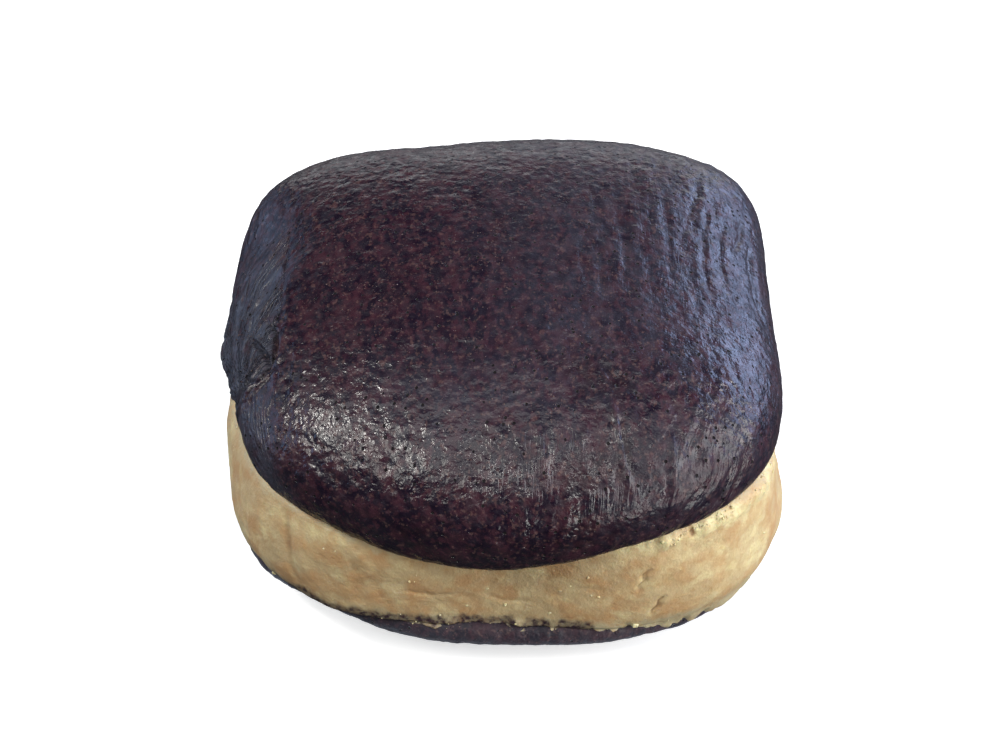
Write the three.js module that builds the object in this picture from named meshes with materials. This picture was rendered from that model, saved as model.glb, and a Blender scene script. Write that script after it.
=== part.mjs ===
// A whoopie pie: two soft cocoa cakes with a thick layer of peanut cream between them.
// Lengths are millimetres and angles are degrees. +Z is up and the front faces -Y.
// The pie stands on the flat of its bottom cake at z = 0, with the middle of its box over the origin.
import * as THREE from 'three';

// Driving dimensions of the whole pie.
const HALF_WIDTH = 45;
const HALF_DEPTH = 42.5;
const SQUARENESS = 2.8; // 2 would be an ellipse; more is closer to a rectangle
const PIE_HEIGHT = 48;
const CREAM_TOP = 26.5; // height of the seam between the cream and the top cake
const CREAM_FLOOR = 10; // height of the seam between the bottom cake and the cream
const GAP = 0.3; // kept between layers that lie on each other

// The top cake: a pillow with a lip that rolls under at its rim.
const LIP_HEIGHT = 5;
const LIP_DEPTH = 3.5;
const LIP_ROUNDNESS = 0.8;
const DOME_SIDE_FULLNESS = 2.6; // 2 would be half a ball; more pushes the shoulders outwards
const DOME_TOP_FULLNESS = 2.25; // more pushes the shoulders upwards

// The cream: pressed flat all round, a little smaller than the cakes.
const CREAM_INSET = 1;
const CREAM_EDGE_ROUNDING = 1.2;
const CREAM_EDGE_SHARPNESS = 4;

// The bottom cake: a shallow bowl with a flat foot and a rounded rim.
const BASE_INSET = 2;
const FOOT_SHARE = 0.5; // the flat foot's share of the cake's radius
const BASE_RIM_HEIGHT = 2;
const BASE_RIM_DEPTH = 1.6;
const BASE_SIDE_ROUNDNESS = 1.2;
const BASE_TUCK_ROUNDNESS = 1.1;

// How far the soft layers swell (or are pressed in, where negative) towards each side and corner.
const RIGHT = 0;
const BACK_RIGHT = 45;
const BACK = 90;
const BACK_LEFT = 135;
const LEFT = 180;
const FRONT_LEFT = 225;
const FRONT = 270;
const FRONT_RIGHT = 315;
const SIDE_SPREAD = 25;
const CORNER_SPREAD = 22;

// Dents and points that lie between the sides and the corners.
const RIGHT_DENT = 20;
const CORNER_POINT = 38;
const BACK_DENT = 112;
const FOLD_FOOT = 202;
const FRONT_LIFT = 290;
const RIGHT_SAG = 340;
const DENT_SPREAD = 12;
const POINT_SPREAD = 9;

const CAKE_SWELLS = [
  { at: BACK_RIGHT, spread: CORNER_SPREAD, by: 3.5 },
  { at: BACK_LEFT, spread: CORNER_SPREAD, by: 2.5 },
  { at: FRONT_LEFT, spread: CORNER_SPREAD, by: -3.5 },
  { at: FRONT_RIGHT, spread: CORNER_SPREAD, by: -0.5 },
  { at: BACK, spread: SIDE_SPREAD, by: 1.5 },
  { at: LEFT, spread: SIDE_SPREAD, by: -1.5 },
  { at: RIGHT, spread: SIDE_SPREAD, by: -2.5 },
  { at: FRONT, spread: SIDE_SPREAD, by: 2.5 },
  { at: RIGHT_DENT, spread: DENT_SPREAD, by: -1 },
  { at: BACK_DENT, spread: DENT_SPREAD, by: -2 },
  { at: CORNER_POINT, spread: POINT_SPREAD, by: 1.5 },
];
const CREAM_SWELLS = [
  { at: BACK_RIGHT, spread: CORNER_SPREAD, by: 2.5 },
  { at: BACK_LEFT, spread: CORNER_SPREAD, by: 1.5 },
  { at: LEFT, spread: SIDE_SPREAD, by: -2 },
  { at: RIGHT, spread: SIDE_SPREAD, by: -3 },
  { at: FRONT, spread: SIDE_SPREAD, by: -1.5 },
  { at: FRONT_RIGHT, spread: CORNER_SPREAD, by: 2.5 },
  { at: RIGHT_SAG, spread: DENT_SPREAD, by: 0.5 },
];
const BASE_SWELLS = [
  { at: BACK_RIGHT, spread: CORNER_SPREAD, by: 2 },
  { at: BACK_LEFT, spread: CORNER_SPREAD, by: 1.5 },
  { at: RIGHT, spread: SIDE_SPREAD, by: 1.5 },
  { at: FRONT, spread: SIDE_SPREAD, by: 1 },
  { at: FRONT_LEFT, spread: CORNER_SPREAD, by: -1 },
  { at: FRONT_RIGHT, spread: CORNER_SPREAD, by: 0.5 },
  { at: RIGHT_SAG, spread: DENT_SPREAD, by: 0.5 },
];

// The seams rise and droop round the rim, because the soft cakes sag over the cream.
const TOP_SEAM_RISES = [
  { at: FRONT, spread: SIDE_SPREAD, by: -2 },
  { at: FRONT_LEFT, spread: CORNER_SPREAD, by: 0.5 },
  { at: FRONT_RIGHT, spread: CORNER_SPREAD, by: 2 },
  { at: FOLD_FOOT, spread: DENT_SPREAD, by: 0.5 },
  { at: RIGHT_SAG, spread: DENT_SPREAD, by: -2.5 },
  { at: FRONT_LIFT, spread: DENT_SPREAD, by: 1 },
];
const FLOOR_SEAM_RISES = [
  { at: FRONT, spread: SIDE_SPREAD, by: -0.5 },
  { at: FRONT_LEFT, spread: CORNER_SPREAD, by: 1.5 },
  { at: FRONT_RIGHT, spread: CORNER_SPREAD, by: -1.5 },
];
const WIDEST_FOLLOWS = 0.5; // how much of its seam's rise the top cake's widest line follows
const SEAM_FULL_AT = 0.8; // share of the outline's radius at which a seam has all of its rise
const SEAM_CURVE = 3; // a seam is level in the middle and bends ever more towards the rim

// The left side is pressed into a flat slope, and the front left corner bulges past it in a fold.
const SLOPE_TILT = 49; // from the horizontal
const SLOPE_RIDGE_X = -33.5;
const SLOPE_RIDGE_Z = 43;
const SLOPE_PRESS = 0.9; // how much of the bulge past the slope is pressed away
const SLOPE_STARTS = 140;
const SLOPE_FULL_FROM = 162;
const CREASE_LOW = 208; // the crease's angle in the wall, and near the ridge where it bends back
const CREASE_HIGH = 190;
const CREASE_BENDS_FROM = 41.5;
const CREASE_BENDS_TO = 44.3;
const CREASE_HALF_WIDTH = 2.5;
const NOTCH = { at: 198, spread: 5.5, by: 3.5 }; // the tuck in the rim at the foot of the crease
const NOTCH_FULL_TO = 2; // heights above the seam
const NOTCH_FADES_TO = 9;

// How finely the solids are faceted.
const COLUMNS = 96;
const CROWDING = 0.45; // the columns crowd together towards the crease
const LIP_STEPS = 4;
const DOME_STEPS = 12;
const WALL_STEPS = 5;
const TUCK_STEPS = 5;
const RIM_STEPS = 2;
const SHEET_SHARES = [0.4, 0.65, 0.85, 1]; // of the stretch in which the seams bend
const FOOT_SHARES = [0.5, 1];

const { degToRad, smoothstep } = THREE.MathUtils;
const QUARTER_TURN = Math.PI / 2;

// A smooth swell round the rim, with half its size left at `spread` degrees to either side.
function swell(angle, { at, spread, by }) {
  const fade = (Math.cos(angle - degToRad(at)) - 1) / (1 - Math.cos(degToRad(spread)));
  return by * Math.exp(Math.LN2 * fade);
}

function allSwells(angle, swells) {
  return swells.reduce((sum, one) => sum + swell(angle, one), 0);
}

// The rounded square that all three layers share.
function outline(angle) {
  const across = Math.abs(Math.cos(angle) / HALF_WIDTH) ** SQUARENESS;
  const along = Math.abs(Math.sin(angle) / HALF_DEPTH) ** SQUARENESS;
  return (across + along) ** (-1 / SQUARENESS);
}

// The height of a seam's sheet at a distance from the pie's axis.
function seamHeight(angle, radius, level, rises) {
  const share = Math.min(1, radius / (SEAM_FULL_AT * outline(angle)));
  return level + allSwells(angle, rises) * share ** SEAM_CURVE;
}

function topSeam(angle, radius) {
  return seamHeight(angle, radius, CREAM_TOP, TOP_SEAM_RISES);
}

function floorSeam(angle, radius) {
  return seamHeight(angle, radius, CREAM_FLOOR, FLOOR_SEAM_RISES);
}

function polar(angle, radius, z) {
  return new THREE.Vector3(radius * Math.cos(angle), radius * Math.sin(angle), z);
}

function columnAngle(column) {
  const even = (2 * Math.PI * column) / COLUMNS;
  return even - CROWDING * Math.sin(even - degToRad(CREASE_LOW));
}

function ring(pointAt) {
  return Array.from({ length: COLUMNS }, (_, column) => pointAt(columnAngle(column)));
}

// One ring for each equal step of a quarter turn, from step `first` to the last.
function arcRings(first, steps, pointAt) {
  const rings = [];
  for (let step = first; step <= steps; step++) {
    const turn = (step / steps) * QUARTER_TURN;
    rings.push(ring((angle) => pointAt(angle, turn)));
  }
  return rings;
}

// The rings of a seam's sheet inside a layer's rim, from the middle outwards.
function sheetRings(heightAt) {
  return SHEET_SHARES.map((share) => ring((angle) => {
    const radius = share * SEAM_FULL_AT * outline(angle);
    return polar(angle, radius, heightAt(angle, radius));
  }));
}

// Closes a stack of rings, which runs from the middle of the underside to the middle of the top.
// Each face between two rings is cut from its inner to its outer side the same way round,
// so that two layers facing each other across a seam have matching facets.
function solidFromRings(rings, bottom, top) {
  const points = [bottom, ...rings.flat(), top];
  const last = points.length - 1;
  const index = [];
  const at = (row, column) => 1 + row * COLUMNS + (column % COLUMNS);
  const fromAxis = (i) => Math.hypot(points[i].x, points[i].y);
  for (let column = 0; column < COLUMNS; column++) {
    index.push(0, at(0, column + 1), at(0, column));
    for (let row = 0; row + 1 < rings.length; row++) {
      const a = at(row, column);
      const b = at(row, column + 1);
      const c = at(row + 1, column + 1);
      const d = at(row + 1, column);
      const runsOutwards = fromAxis(d) > fromAxis(a);
      index.push(...(runsOutwards ? [a, b, c, a, c, d] : [a, b, d, b, c, d]));
    }
    index.push(last, at(rings.length - 1, column), at(rings.length - 1, column + 1));
  }
  const geometry = new THREE.BufferGeometry().setFromPoints(points);
  geometry.setIndex(index);
  geometry.computeVertexNormals();
  return geometry;
}

// How far the notch pulls the top cake's rim in, fading up the wall.
function notchDepth(angle, z) {
  const aboveSeam = z - CREAM_TOP;
  return swell(angle, NOTCH) * (1 - smoothstep(aboveSeam, NOTCH_FULL_TO, NOTCH_FADES_TO));
}

// Presses what bulges past the left side's slope back onto it, as far forward as the crease.
function pressSlope(point, angle) {
  const tilt = degToRad(SLOPE_TILT);
  const outwards = new THREE.Vector3(-Math.sin(tilt), 0, Math.cos(tilt));
  const ridge = new THREE.Vector3(SLOPE_RIDGE_X, 0, SLOPE_RIDGE_Z);
  const beyond = Math.max(0, point.clone().sub(ridge).dot(outwards));
  const degrees = THREE.MathUtils.euclideanModulo(THREE.MathUtils.radToDeg(angle), 360);
  const bend = smoothstep(point.z, CREASE_BENDS_FROM, CREASE_BENDS_TO);
  const crease = CREASE_LOW + (CREASE_HIGH - CREASE_LOW) * bend;
  const behindCrease = 1 - smoothstep(degrees, crease - CREASE_HALF_WIDTH, crease + CREASE_HALF_WIDTH);
  const share = SLOPE_PRESS * smoothstep(degrees, SLOPE_STARTS, SLOPE_FULL_FROM) * behindCrease;
  return point.addScaledVector(outwards, -share * beyond);
}

// The pillow: a sheet underneath, a lip that rolls under at the rim, and the dome.
function topCake() {
  const rimRadius = (angle) => outline(angle) + allSwells(angle, CAKE_SWELLS);
  const rimSeam = (angle) => topSeam(angle, outline(angle)) + GAP;
  const widest = (angle) => CREAM_TOP + LIP_HEIGHT + WIDEST_FOLLOWS * allSwells(angle, TOP_SEAM_RISES);
  const skin = (angle, radius, z) => {
    const pulledIn = notchDepth(angle, z) * (radius / rimRadius(angle)) ** 4;
    return pressSlope(polar(angle, radius - pulledIn, z), angle);
  };
  const underside = sheetRings((angle, radius) => topSeam(angle, radius) + GAP);
  const lip = arcRings(0, LIP_STEPS, (angle, turn) => {
    const radius = rimRadius(angle) - LIP_DEPTH * (1 - Math.sin(turn) ** LIP_ROUNDNESS);
    const drop = (widest(angle) - rimSeam(angle)) * Math.cos(turn) ** LIP_ROUNDNESS;
    return skin(angle, radius, widest(angle) - drop);
  });
  const dome = arcRings(1, DOME_STEPS, (angle, turn) => {
    const radius = rimRadius(angle) * Math.cos(turn) ** (2 / DOME_SIDE_FULLNESS);
    const climb = (PIE_HEIGHT - widest(angle)) * Math.sin(turn) ** (2 / DOME_TOP_FULLNESS);
    return skin(angle, radius, widest(angle) + climb);
  });
  dome.pop(); // the dome's last step is its top point
  return solidFromRings(
    [...underside, ...lip, ...dome],
    new THREE.Vector3(0, 0, CREAM_TOP + GAP),
    new THREE.Vector3(0, 0, PIE_HEIGHT),
  );
}

// The cream: a thick wall that bulges a little, between the two seams.
function cream() {
  const rimRadius = (angle) => outline(angle) - CREAM_INSET + allSwells(angle, CREAM_SWELLS);
  const floor = sheetRings((angle, radius) => floorSeam(angle, radius) + GAP);
  const wall = Array.from({ length: WALL_STEPS + 1 }, (_, step) => ring((angle) => {
    const share = step / WALL_STEPS;
    const rounding = CREAM_EDGE_ROUNDING * Math.abs(2 * share - 1) ** CREAM_EDGE_SHARPNESS;
    const low = floorSeam(angle, outline(angle)) + GAP;
    const high = topSeam(angle, outline(angle));
    return polar(angle, rimRadius(angle) - rounding, low + (high - low) * share);
  }));
  const top = sheetRings(topSeam).reverse();
  return solidFromRings(
    [...floor, ...wall, ...top],
    new THREE.Vector3(0, 0, CREAM_FLOOR + GAP),
    new THREE.Vector3(0, 0, CREAM_TOP),
  );
}

// The bottom cake: a flat foot, a side that tucks under, a rounded rim and the seam on top.
function bottomCake() {
  const rimRadius = (angle) => outline(angle) - BASE_INSET + allSwells(angle, BASE_SWELLS);
  const rimSeam = (angle) => floorSeam(angle, outline(angle));
  const foot = FOOT_SHARES.map((share) => ring((angle) => (
    polar(angle, share * FOOT_SHARE * rimRadius(angle), 0)
  )));
  const side = arcRings(1, TUCK_STEPS, (angle, turn) => {
    const reach = FOOT_SHARE + (1 - FOOT_SHARE) * Math.sin(turn) ** BASE_SIDE_ROUNDNESS;
    const height = (rimSeam(angle) - BASE_RIM_HEIGHT) * (1 - Math.cos(turn) ** BASE_TUCK_ROUNDNESS);
    return polar(angle, reach * rimRadius(angle), height);
  });
  const rim = arcRings(1, RIM_STEPS, (angle, turn) => polar(
    angle,
    rimRadius(angle) - BASE_RIM_DEPTH * (1 - Math.cos(turn)),
    rimSeam(angle) - BASE_RIM_HEIGHT * (1 - Math.sin(turn)),
  ));
  const top = sheetRings(floorSeam).reverse();
  return solidFromRings(
    [...foot, ...side, ...rim, ...top],
    new THREE.Vector3(0, 0, 0),
    new THREE.Vector3(0, 0, CREAM_FLOOR),
  );
}

// Materials: the cakes' skin is dark and sticky, and the cream is pale and nearly matt.
const cocoaSkin = new THREE.MeshStandardMaterial({ color: '#40323a', roughness: 0.42, metalness: 0 });
const tuckedSkin = new THREE.MeshStandardMaterial({ color: '#453a3f', roughness: 0.6, metalness: 0 });
const peanutCream = new THREE.MeshStandardMaterial({ color: '#cdae80', roughness: 0.65, metalness: 0 });

function layer(name, geometry, material) {
  const mesh = new THREE.Mesh(geometry, material);
  mesh.name = name;
  return mesh;
}

const pie = new THREE.Group();
pie.add(layer('bottom_cake', bottomCake(), tuckedSkin));
pie.add(layer('cream', cream(), peanutCream));
pie.add(layer('top_cake', topCake(), cocoaSkin));

// The swells are uneven, so the finished pie is moved until its box is centred on the origin.
const middle = new THREE.Box3().setFromObject(pie).getCenter(new THREE.Vector3());
pie.position.set(-middle.x, -middle.y, 0);

export default pie;
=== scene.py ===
# %% [markdown]
# # A whoopie pie in Blender
#
# A whoopie pie is two soft cocoa cakes with a thick layer of cream between them. This one was
# wrapped tightly: its cakes have sagged over the cream, their sticky skin has wrinkled, and one
# side is pressed flat. This notebook first loads the plain solids of the three layers, and then
# builds a fine skin around each of them, so that every layer stays where its solid is.

# %% Load the solids
import math

import bpy
import numpy as np
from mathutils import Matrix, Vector, noise


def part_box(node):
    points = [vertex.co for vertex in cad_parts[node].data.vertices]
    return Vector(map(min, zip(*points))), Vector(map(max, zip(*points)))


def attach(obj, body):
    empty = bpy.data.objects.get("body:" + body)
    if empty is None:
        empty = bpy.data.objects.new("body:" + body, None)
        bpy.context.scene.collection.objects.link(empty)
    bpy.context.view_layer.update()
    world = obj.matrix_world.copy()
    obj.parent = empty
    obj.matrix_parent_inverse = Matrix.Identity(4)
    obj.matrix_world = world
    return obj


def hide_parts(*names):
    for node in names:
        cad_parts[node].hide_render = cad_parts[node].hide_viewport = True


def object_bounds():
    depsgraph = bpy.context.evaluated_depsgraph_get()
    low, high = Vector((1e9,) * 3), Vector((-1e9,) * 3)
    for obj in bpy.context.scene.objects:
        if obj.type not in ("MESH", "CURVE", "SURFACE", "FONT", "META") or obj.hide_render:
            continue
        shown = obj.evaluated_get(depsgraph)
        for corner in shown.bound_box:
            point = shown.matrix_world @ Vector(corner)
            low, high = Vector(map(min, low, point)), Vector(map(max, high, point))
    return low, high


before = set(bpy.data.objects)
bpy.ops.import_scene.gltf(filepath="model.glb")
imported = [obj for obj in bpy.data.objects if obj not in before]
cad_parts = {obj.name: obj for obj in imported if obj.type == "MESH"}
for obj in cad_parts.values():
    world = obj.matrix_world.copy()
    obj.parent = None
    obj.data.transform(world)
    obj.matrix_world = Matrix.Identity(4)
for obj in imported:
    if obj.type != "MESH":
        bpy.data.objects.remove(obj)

MM = 0.001  # metres in a millimetre
solid_low, solid_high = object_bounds()
solid_size = (solid_high - solid_low) / MM
print("layers:", sorted(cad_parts))
print("size of the solids in mm:", [round(side, 1) for side in solid_size])

# %% [markdown]
# ## The camera
#
# The camera comes first, because every later choice is judged through it. It stands in front of
# the pie and looks down at it, so that both the broad top and the cream at the front are seen.
# A longish lens keeps the pie's shape calm: a short one would swell the front.

# %% Make the camera
CAMERA_RAISED = math.radians(43)
CAMERA_DISTANCE = 283.4 * MM
CAMERA_LENS = 64.0
AIM_HEIGHT = 23.27 * MM
AIM_ASIDE = -0.80 * MM


def new_object(name, data):
    """An object in the scene that shows some data, such as a camera, a mesh or a light."""
    obj = bpy.data.objects.new(name, data)
    bpy.context.scene.collection.objects.link(obj)
    return obj


camera = new_object("camera", bpy.data.cameras.new("camera"))
camera.data.lens = CAMERA_LENS
camera.data.clip_start = 0.01
camera.location = (
    AIM_ASIDE,
    -CAMERA_DISTANCE * math.cos(CAMERA_RAISED),
    AIM_HEIGHT + CAMERA_DISTANCE * math.sin(CAMERA_RAISED),
)
camera.rotation_euler = (math.pi / 2 - CAMERA_RAISED, 0, 0)
bpy.context.scene.camera = camera
print("camera at", [round(place / MM) for place in camera.location], "mm")

# %% [markdown]
# ## Building with nodes
#
# Materials and Geometry Nodes are both trees of nodes. Adding each node by hand takes many lines,
# so one small helper adds a node, sets what it needs, and links its inputs. An input is either a
# plain value or the output of another node. The other helpers are built on that one.

# %% Helpers for node trees
def add(tree, kind, inputs=None, **settings):
    """Adds a node to a tree. An input may be a value or another node's output."""
    node = tree.nodes.new(kind)
    for name, value in settings.items():
        setattr(node, name, value)
    for socket, value in (inputs or {}).items():
        if isinstance(value, bpy.types.NodeSocket):
            tree.links.new(value, node.inputs[socket])
        else:
            node.inputs[socket].default_value = value
    return node


def maths(tree, operation, first, second=0.0, third=0.0, clamp=False):
    """One sum on two or three numbers, as a node's output."""
    inputs = {0: first, 1: second, 2: third}
    return add(tree, "ShaderNodeMath", inputs, operation=operation, use_clamp=clamp).outputs[0]


def vectors(tree, operation, first, second):
    """One sum on two vectors, as a node's output. For SCALE, the second is a plain number."""
    inputs = {0: first, "Scale" if operation == "SCALE" else 1: second}
    return add(tree, "ShaderNodeVectorMath", inputs, operation=operation).outputs[0]


def between(tree, value, start, end, low=0.0, high=1.0):
    """Turns a value that runs from start to end into one that runs smoothly from low to high."""
    inputs = {"Value": value, 1: start, 2: end, 3: low, 4: high}
    kind = "ShaderNodeMapRange"
    return add(tree, kind, inputs, interpolation_type="SMOOTHSTEP").outputs[0]


def grain(tree, place, size, detail=2.0, seed=0.0):
    """Soft noise from 0 to 1 with features about `size` metres across."""
    scale = maths(tree, "DIVIDE", 1.0, size)
    inputs = {"Vector": place, "W": seed, "Scale": scale, "Detail": detail}
    return add(tree, "ShaderNodeTexNoise", inputs, noise_dimensions="4D").outputs[0]


def patches(tree, place, size, detail, seed, start, end, low, high):
    """Noise with clear patches: low where it is under start, and high where it is over end."""
    return between(tree, grain(tree, place, size * MM, detail, seed), start, end, low, high)


def spots(tree, place, spacing, radius, kept, seed):
    """1 inside round spots about `spacing` apart, 0 outside. Only a share of them is kept."""
    inputs = {"Vector": vectors(tree, "ADD", place, (seed,) * 3), "Scale": 1 / (spacing * MM)}
    cells = add(tree, "ShaderNodeTexVoronoi", inputs)
    share = add(tree, "ShaderNodeSeparateColor", {0: cells.outputs["Color"]})
    inside = between(tree, cells.outputs["Distance"], radius / spacing, 0.6 * radius / spacing)
    return maths(tree, "MULTIPLY", inside, maths(tree, "LESS_THAN", share.outputs[0], kept))


def mixed(tree, share, first, second):
    """A colour between two others."""
    inputs = {"Factor": share, 6: first, 7: second}
    return add(tree, "ShaderNodeMix", inputs, data_type="RGBA").outputs[2]


def stored(tree, *names):
    """What a mesh keeps for each of its points: a vector for the flow, and numbers otherwise."""
    nodes = [add(tree, "ShaderNodeAttribute", attribute_name=name) for name in names]
    return [node.outputs["Vector" if node.attribute_name == "flow" else "Fac"] for node in nodes]


def new_material(name, constants):
    """A material whose shader has these fixed values, with its tree and its shader."""
    material = bpy.data.materials.new(name)
    material.use_nodes = True
    shader = material.node_tree.nodes["Principled BSDF"]
    for socket, value in constants.items():
        shader.inputs[socket].default_value = value
    return material, material.node_tree, shader


def roughen(tree, height, strength, depth, sockets):
    """Breaks up a surface by a fine bump, given to some of the shader's normals."""
    inputs = {"Height": height, "Strength": strength, "Distance": depth * MM}
    bump = add(tree, "ShaderNodeBump", inputs)
    for socket in sockets:
        tree.links.new(bump.outputs[0], socket)


print("node helpers ready")

# %% [markdown]
# ## The cocoa skin
#
# The skin of the top cake is a thin, sticky, almost black crust. Its colour isn't even: red-brown
# crumb shows through it, tan grains of sugar and cocoa lie in it, and dark pores are open in it.
# Some of its colour is painted light and shade: the pores and the hollows of the relief are painted
# darker as painted shade, and a grey-blue painted sheen stands in places for the surroundings that
# the skin would mirror. A painted texture could hold all that, but noise keeps its detail at any
# distance and needs no unwrapping. The gloss comes from the shader: a fairly smooth surface, broken
# up by a fine bump, so that a soft light turns into many small glints. What depends on the place,
# such as polish and the painted sheen, is stored on the mesh later on, and only read here.

# %% Colours and the cocoa skin's material
SKIN_DARK = (0.0070, 0.0026, 0.0100, 1)
SKIN_RED = (0.045, 0.0145, 0.0225, 1)
# painted shade, the colour of the relief's hollows
HOLLOW_SHADE = (0.010, 0.003, 0.006, 1)
SUGAR_TAN = (0.13, 0.070, 0.062, 1)
RIM_BROWN = (0.075, 0.048, 0.040, 1)
# painted shade, the colour inside the pores
PORE_SHADE = (0.004, 0.002, 0.003, 1)
# painted sheen, grey-blue for the reflection of the surroundings
PAINTED_SHEEN_GREY = (0.054, 0.056, 0.078, 1)

SKIN_PATCHES = {  # in the crust
    # size in mm, detail, seed, noise that counts as low and as high, the low and the high value
    "blotches": (3.0, 4.0, 0.0, 0.45, 0.66, 0.0, 0.50),
    "mottle": (0.9, 4.0, 3.0, 0.46, 0.64, 0.0, 0.74),
    "flecks": (0.6, 2.0, 8.0, 0.57, 0.70, 0.0, 0.42),
}
# Patches of the painted sheen, of the roughness and of the coat.
VEIL_PATCHES = {  # in what lies over it
    "clouds": (3.0, 5.0, 9.0, 0.30, 0.65, 0.25, 1.30),
    "dullness": (1.2, 2.0, 5.0, 0.30, 0.70, -0.09, 0.22),
    "gloss": (3.5, 3.0, 5.0, 0.35, 0.65, 0.45, 1.35),
}
PORES = {"spacing": 1.4, "radius": 0.27, "kept": 0.50, "seed": 0.3}  # in millimetres
TAN_GRAINS = {"spacing": 0.7, "radius": 0.18, "kept": 0.20, "seed": 0.7}
DRAWN_OUT = (1.0, 0.72, 1.0)  # the mottling is a little longer from front to back
THREADED = (1.0, 0.12, 1.0)  # threads are far longer along the flow than across it
DOMES_PER_METRE = 700.0


def cocoa_material(name, roughness, coat, constants):
    """The cakes' dark skin. A duller skin has more roughness and less coat."""
    constants = {"Coat Roughness": 0.17, "IOR": 1.45, **constants}
    material, tree, shader = new_material(name, constants)
    place = add(tree, "ShaderNodeTexCoord").outputs["Object"]
    drawn = vectors(tree, "MULTIPLY", place, DRAWN_OUT)
    relief, flow, lined = stored(tree, "relief", "flow", "lines")
    rubbed, polish, bloom = stored(tree, "rubbed", "polish", "bloom")
    seen = {label: patches(tree, drawn, *settings) for label, settings in SKIN_PATCHES.items()}
    veil = {label: patches(tree, place, *settings) for label, settings in VEIL_PATCHES.items()}
    pores = spots(tree, place, **PORES)
    tan_grains = spots(tree, place, **TAN_GRAINS)
    thread = grain(tree, vectors(tree, "MULTIPLY", flow, THREADED), 1.0 * MM, 2.0, 4.0)
    thread = maths(tree, "ABSOLUTE", maths(tree, "SUBTRACT", thread, 0.5))
    thread = maths(tree, "MULTIPLY", between(tree, thread, 0.10, 0.0), lined)

    # The colour, from the crust's own to what lies on it, with painted shade and a painted sheen.
    colour = mixed(tree, seen["blotches"], SKIN_DARK, SKIN_RED)
    colour = mixed(tree, seen["mottle"], colour, SKIN_RED)
    # Painted shade: the hollows of the relief are darkened.
    colour = mixed(tree, between(tree, relief, 0.0, -0.3 * MM, 0.0, 0.7), colour, HOLLOW_SHADE)
    flecks = maths(tree, "MULTIPLY_ADD", tan_grains, 0.35, seen["flecks"])
    colour = mixed(tree, flecks, colour, SUGAR_TAN)
    # Painted sheen: grey-blue where the skin would mirror its surroundings, and along the threads.
    sheen_amount = maths(tree, "MULTIPLY", bloom, veil["clouds"])
    sheen_amount = maths(tree, "MULTIPLY_ADD", thread, 0.45, sheen_amount, clamp=True)
    colour = mixed(tree, sheen_amount, colour, PAINTED_SHEEN_GREY)
    # Painted shade: the pores are painted nearly black.
    colour = mixed(tree, pores, colour, PORE_SHADE)
    smear = maths(tree, "ADD", grain(tree, place, 1.5 * MM, 4.0, 6.0), rubbed)
    colour = mixed(tree, between(tree, smear, 0.9, 1.3), colour, RIM_BROWN)
    tree.links.new(colour, shader.inputs["Base Color"])

    # The gloss: pores and places with painted sheen are dull, and the coat is broken into patches.
    dull = maths(tree, "MULTIPLY_ADD", pores, 0.5, veil["dullness"])
    dull = maths(tree, "MULTIPLY_ADD", bloom, 0.15, dull)
    tree.links.new(maths(tree, "ADD", dull, roughness), shader.inputs["Roughness"])
    open_skin = maths(tree, "SUBTRACT", 1.0, pores)
    glaze = maths(tree, "MULTIPLY", maths(tree, "MULTIPLY", polish, open_skin), veil["gloss"])
    tree.links.new(maths(tree, "MULTIPLY", glaze, coat), shader.inputs["Coat Weight"])

    # The bump: pebbles and small domes, lower where the skin is dull, and threads and pores.
    fine = grain(tree, place, 0.4 * MM, 1.0, 2.0)
    height = maths(tree, "MULTIPLY_ADD", fine, 0.22, grain(tree, place, 1.2 * MM, 2.0, 1.0))
    inputs = {"Vector": place, "Scale": DOMES_PER_METRE}
    domes = add(tree, "ShaderNodeTexVoronoi", inputs, feature="SMOOTH_F1").outputs["Distance"]
    height = maths(tree, "MULTIPLY_ADD", domes, -0.6, height)
    height = maths(tree, "MULTIPLY", height, maths(tree, "MULTIPLY_ADD", polish, 0.42, 0.58))
    height = maths(tree, "MULTIPLY_ADD", thread, 1.1, height)
    height = maths(tree, "MULTIPLY_ADD", pores, -1.0, height)
    roughen(tree, height, 1.0, 0.35, [shader.inputs["Normal"], shader.inputs["Coat Normal"]])
    return material


SKIN_CONSTANTS = {"Specular IOR Level": 0.38}
UNDERSIDE_CONSTANTS = {
    "Sheen Weight": 0.3, "Sheen Roughness": 0.5, "Sheen Tint": (0.75, 0.82, 1.0, 1),
}
cocoa_skin = cocoa_material("cocoa skin", 0.32, 0.62, SKIN_CONSTANTS)
cocoa_underside = cocoa_material("cocoa underside", 0.55, 0.0, UNDERSIDE_CONSTANTS)
print("cake materials:", cocoa_skin.name, "and", cocoa_underside.name)

# %% [markdown]
# ## The peanut cream
#
# The cream is whipped peanut butter and sugar: tan, nearly matt, and a little see-through, so light
# softens inside it. Paler and more orange patches run through it, its edges have dried, and low at
# the front, where it touches the bottom cake, it is stained with cocoa. Its deep cracks, and the
# seam just under the top cake, are painted darker as painted shade. Where it is pale, dry or
# stained, and where it is shaded under the top cake, is stored on the mesh, because that follows
# the seams.

# %% The cream's material
CREAM_TAN = (0.585, 0.432, 0.236, 1)
CREAM_ORANGE = (0.545, 0.330, 0.158, 1)
CREAM_PALE = (0.81, 0.70, 0.39, 1)
CREAM_DRY = (0.56, 0.48, 0.30, 1)
# painted shade, the colour of deep cracks and creases in the cream
CRACK_SHADE = (0.25, 0.13, 0.06, 1)
COCOA_STAIN = (0.040, 0.018, 0.026, 1)

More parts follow.
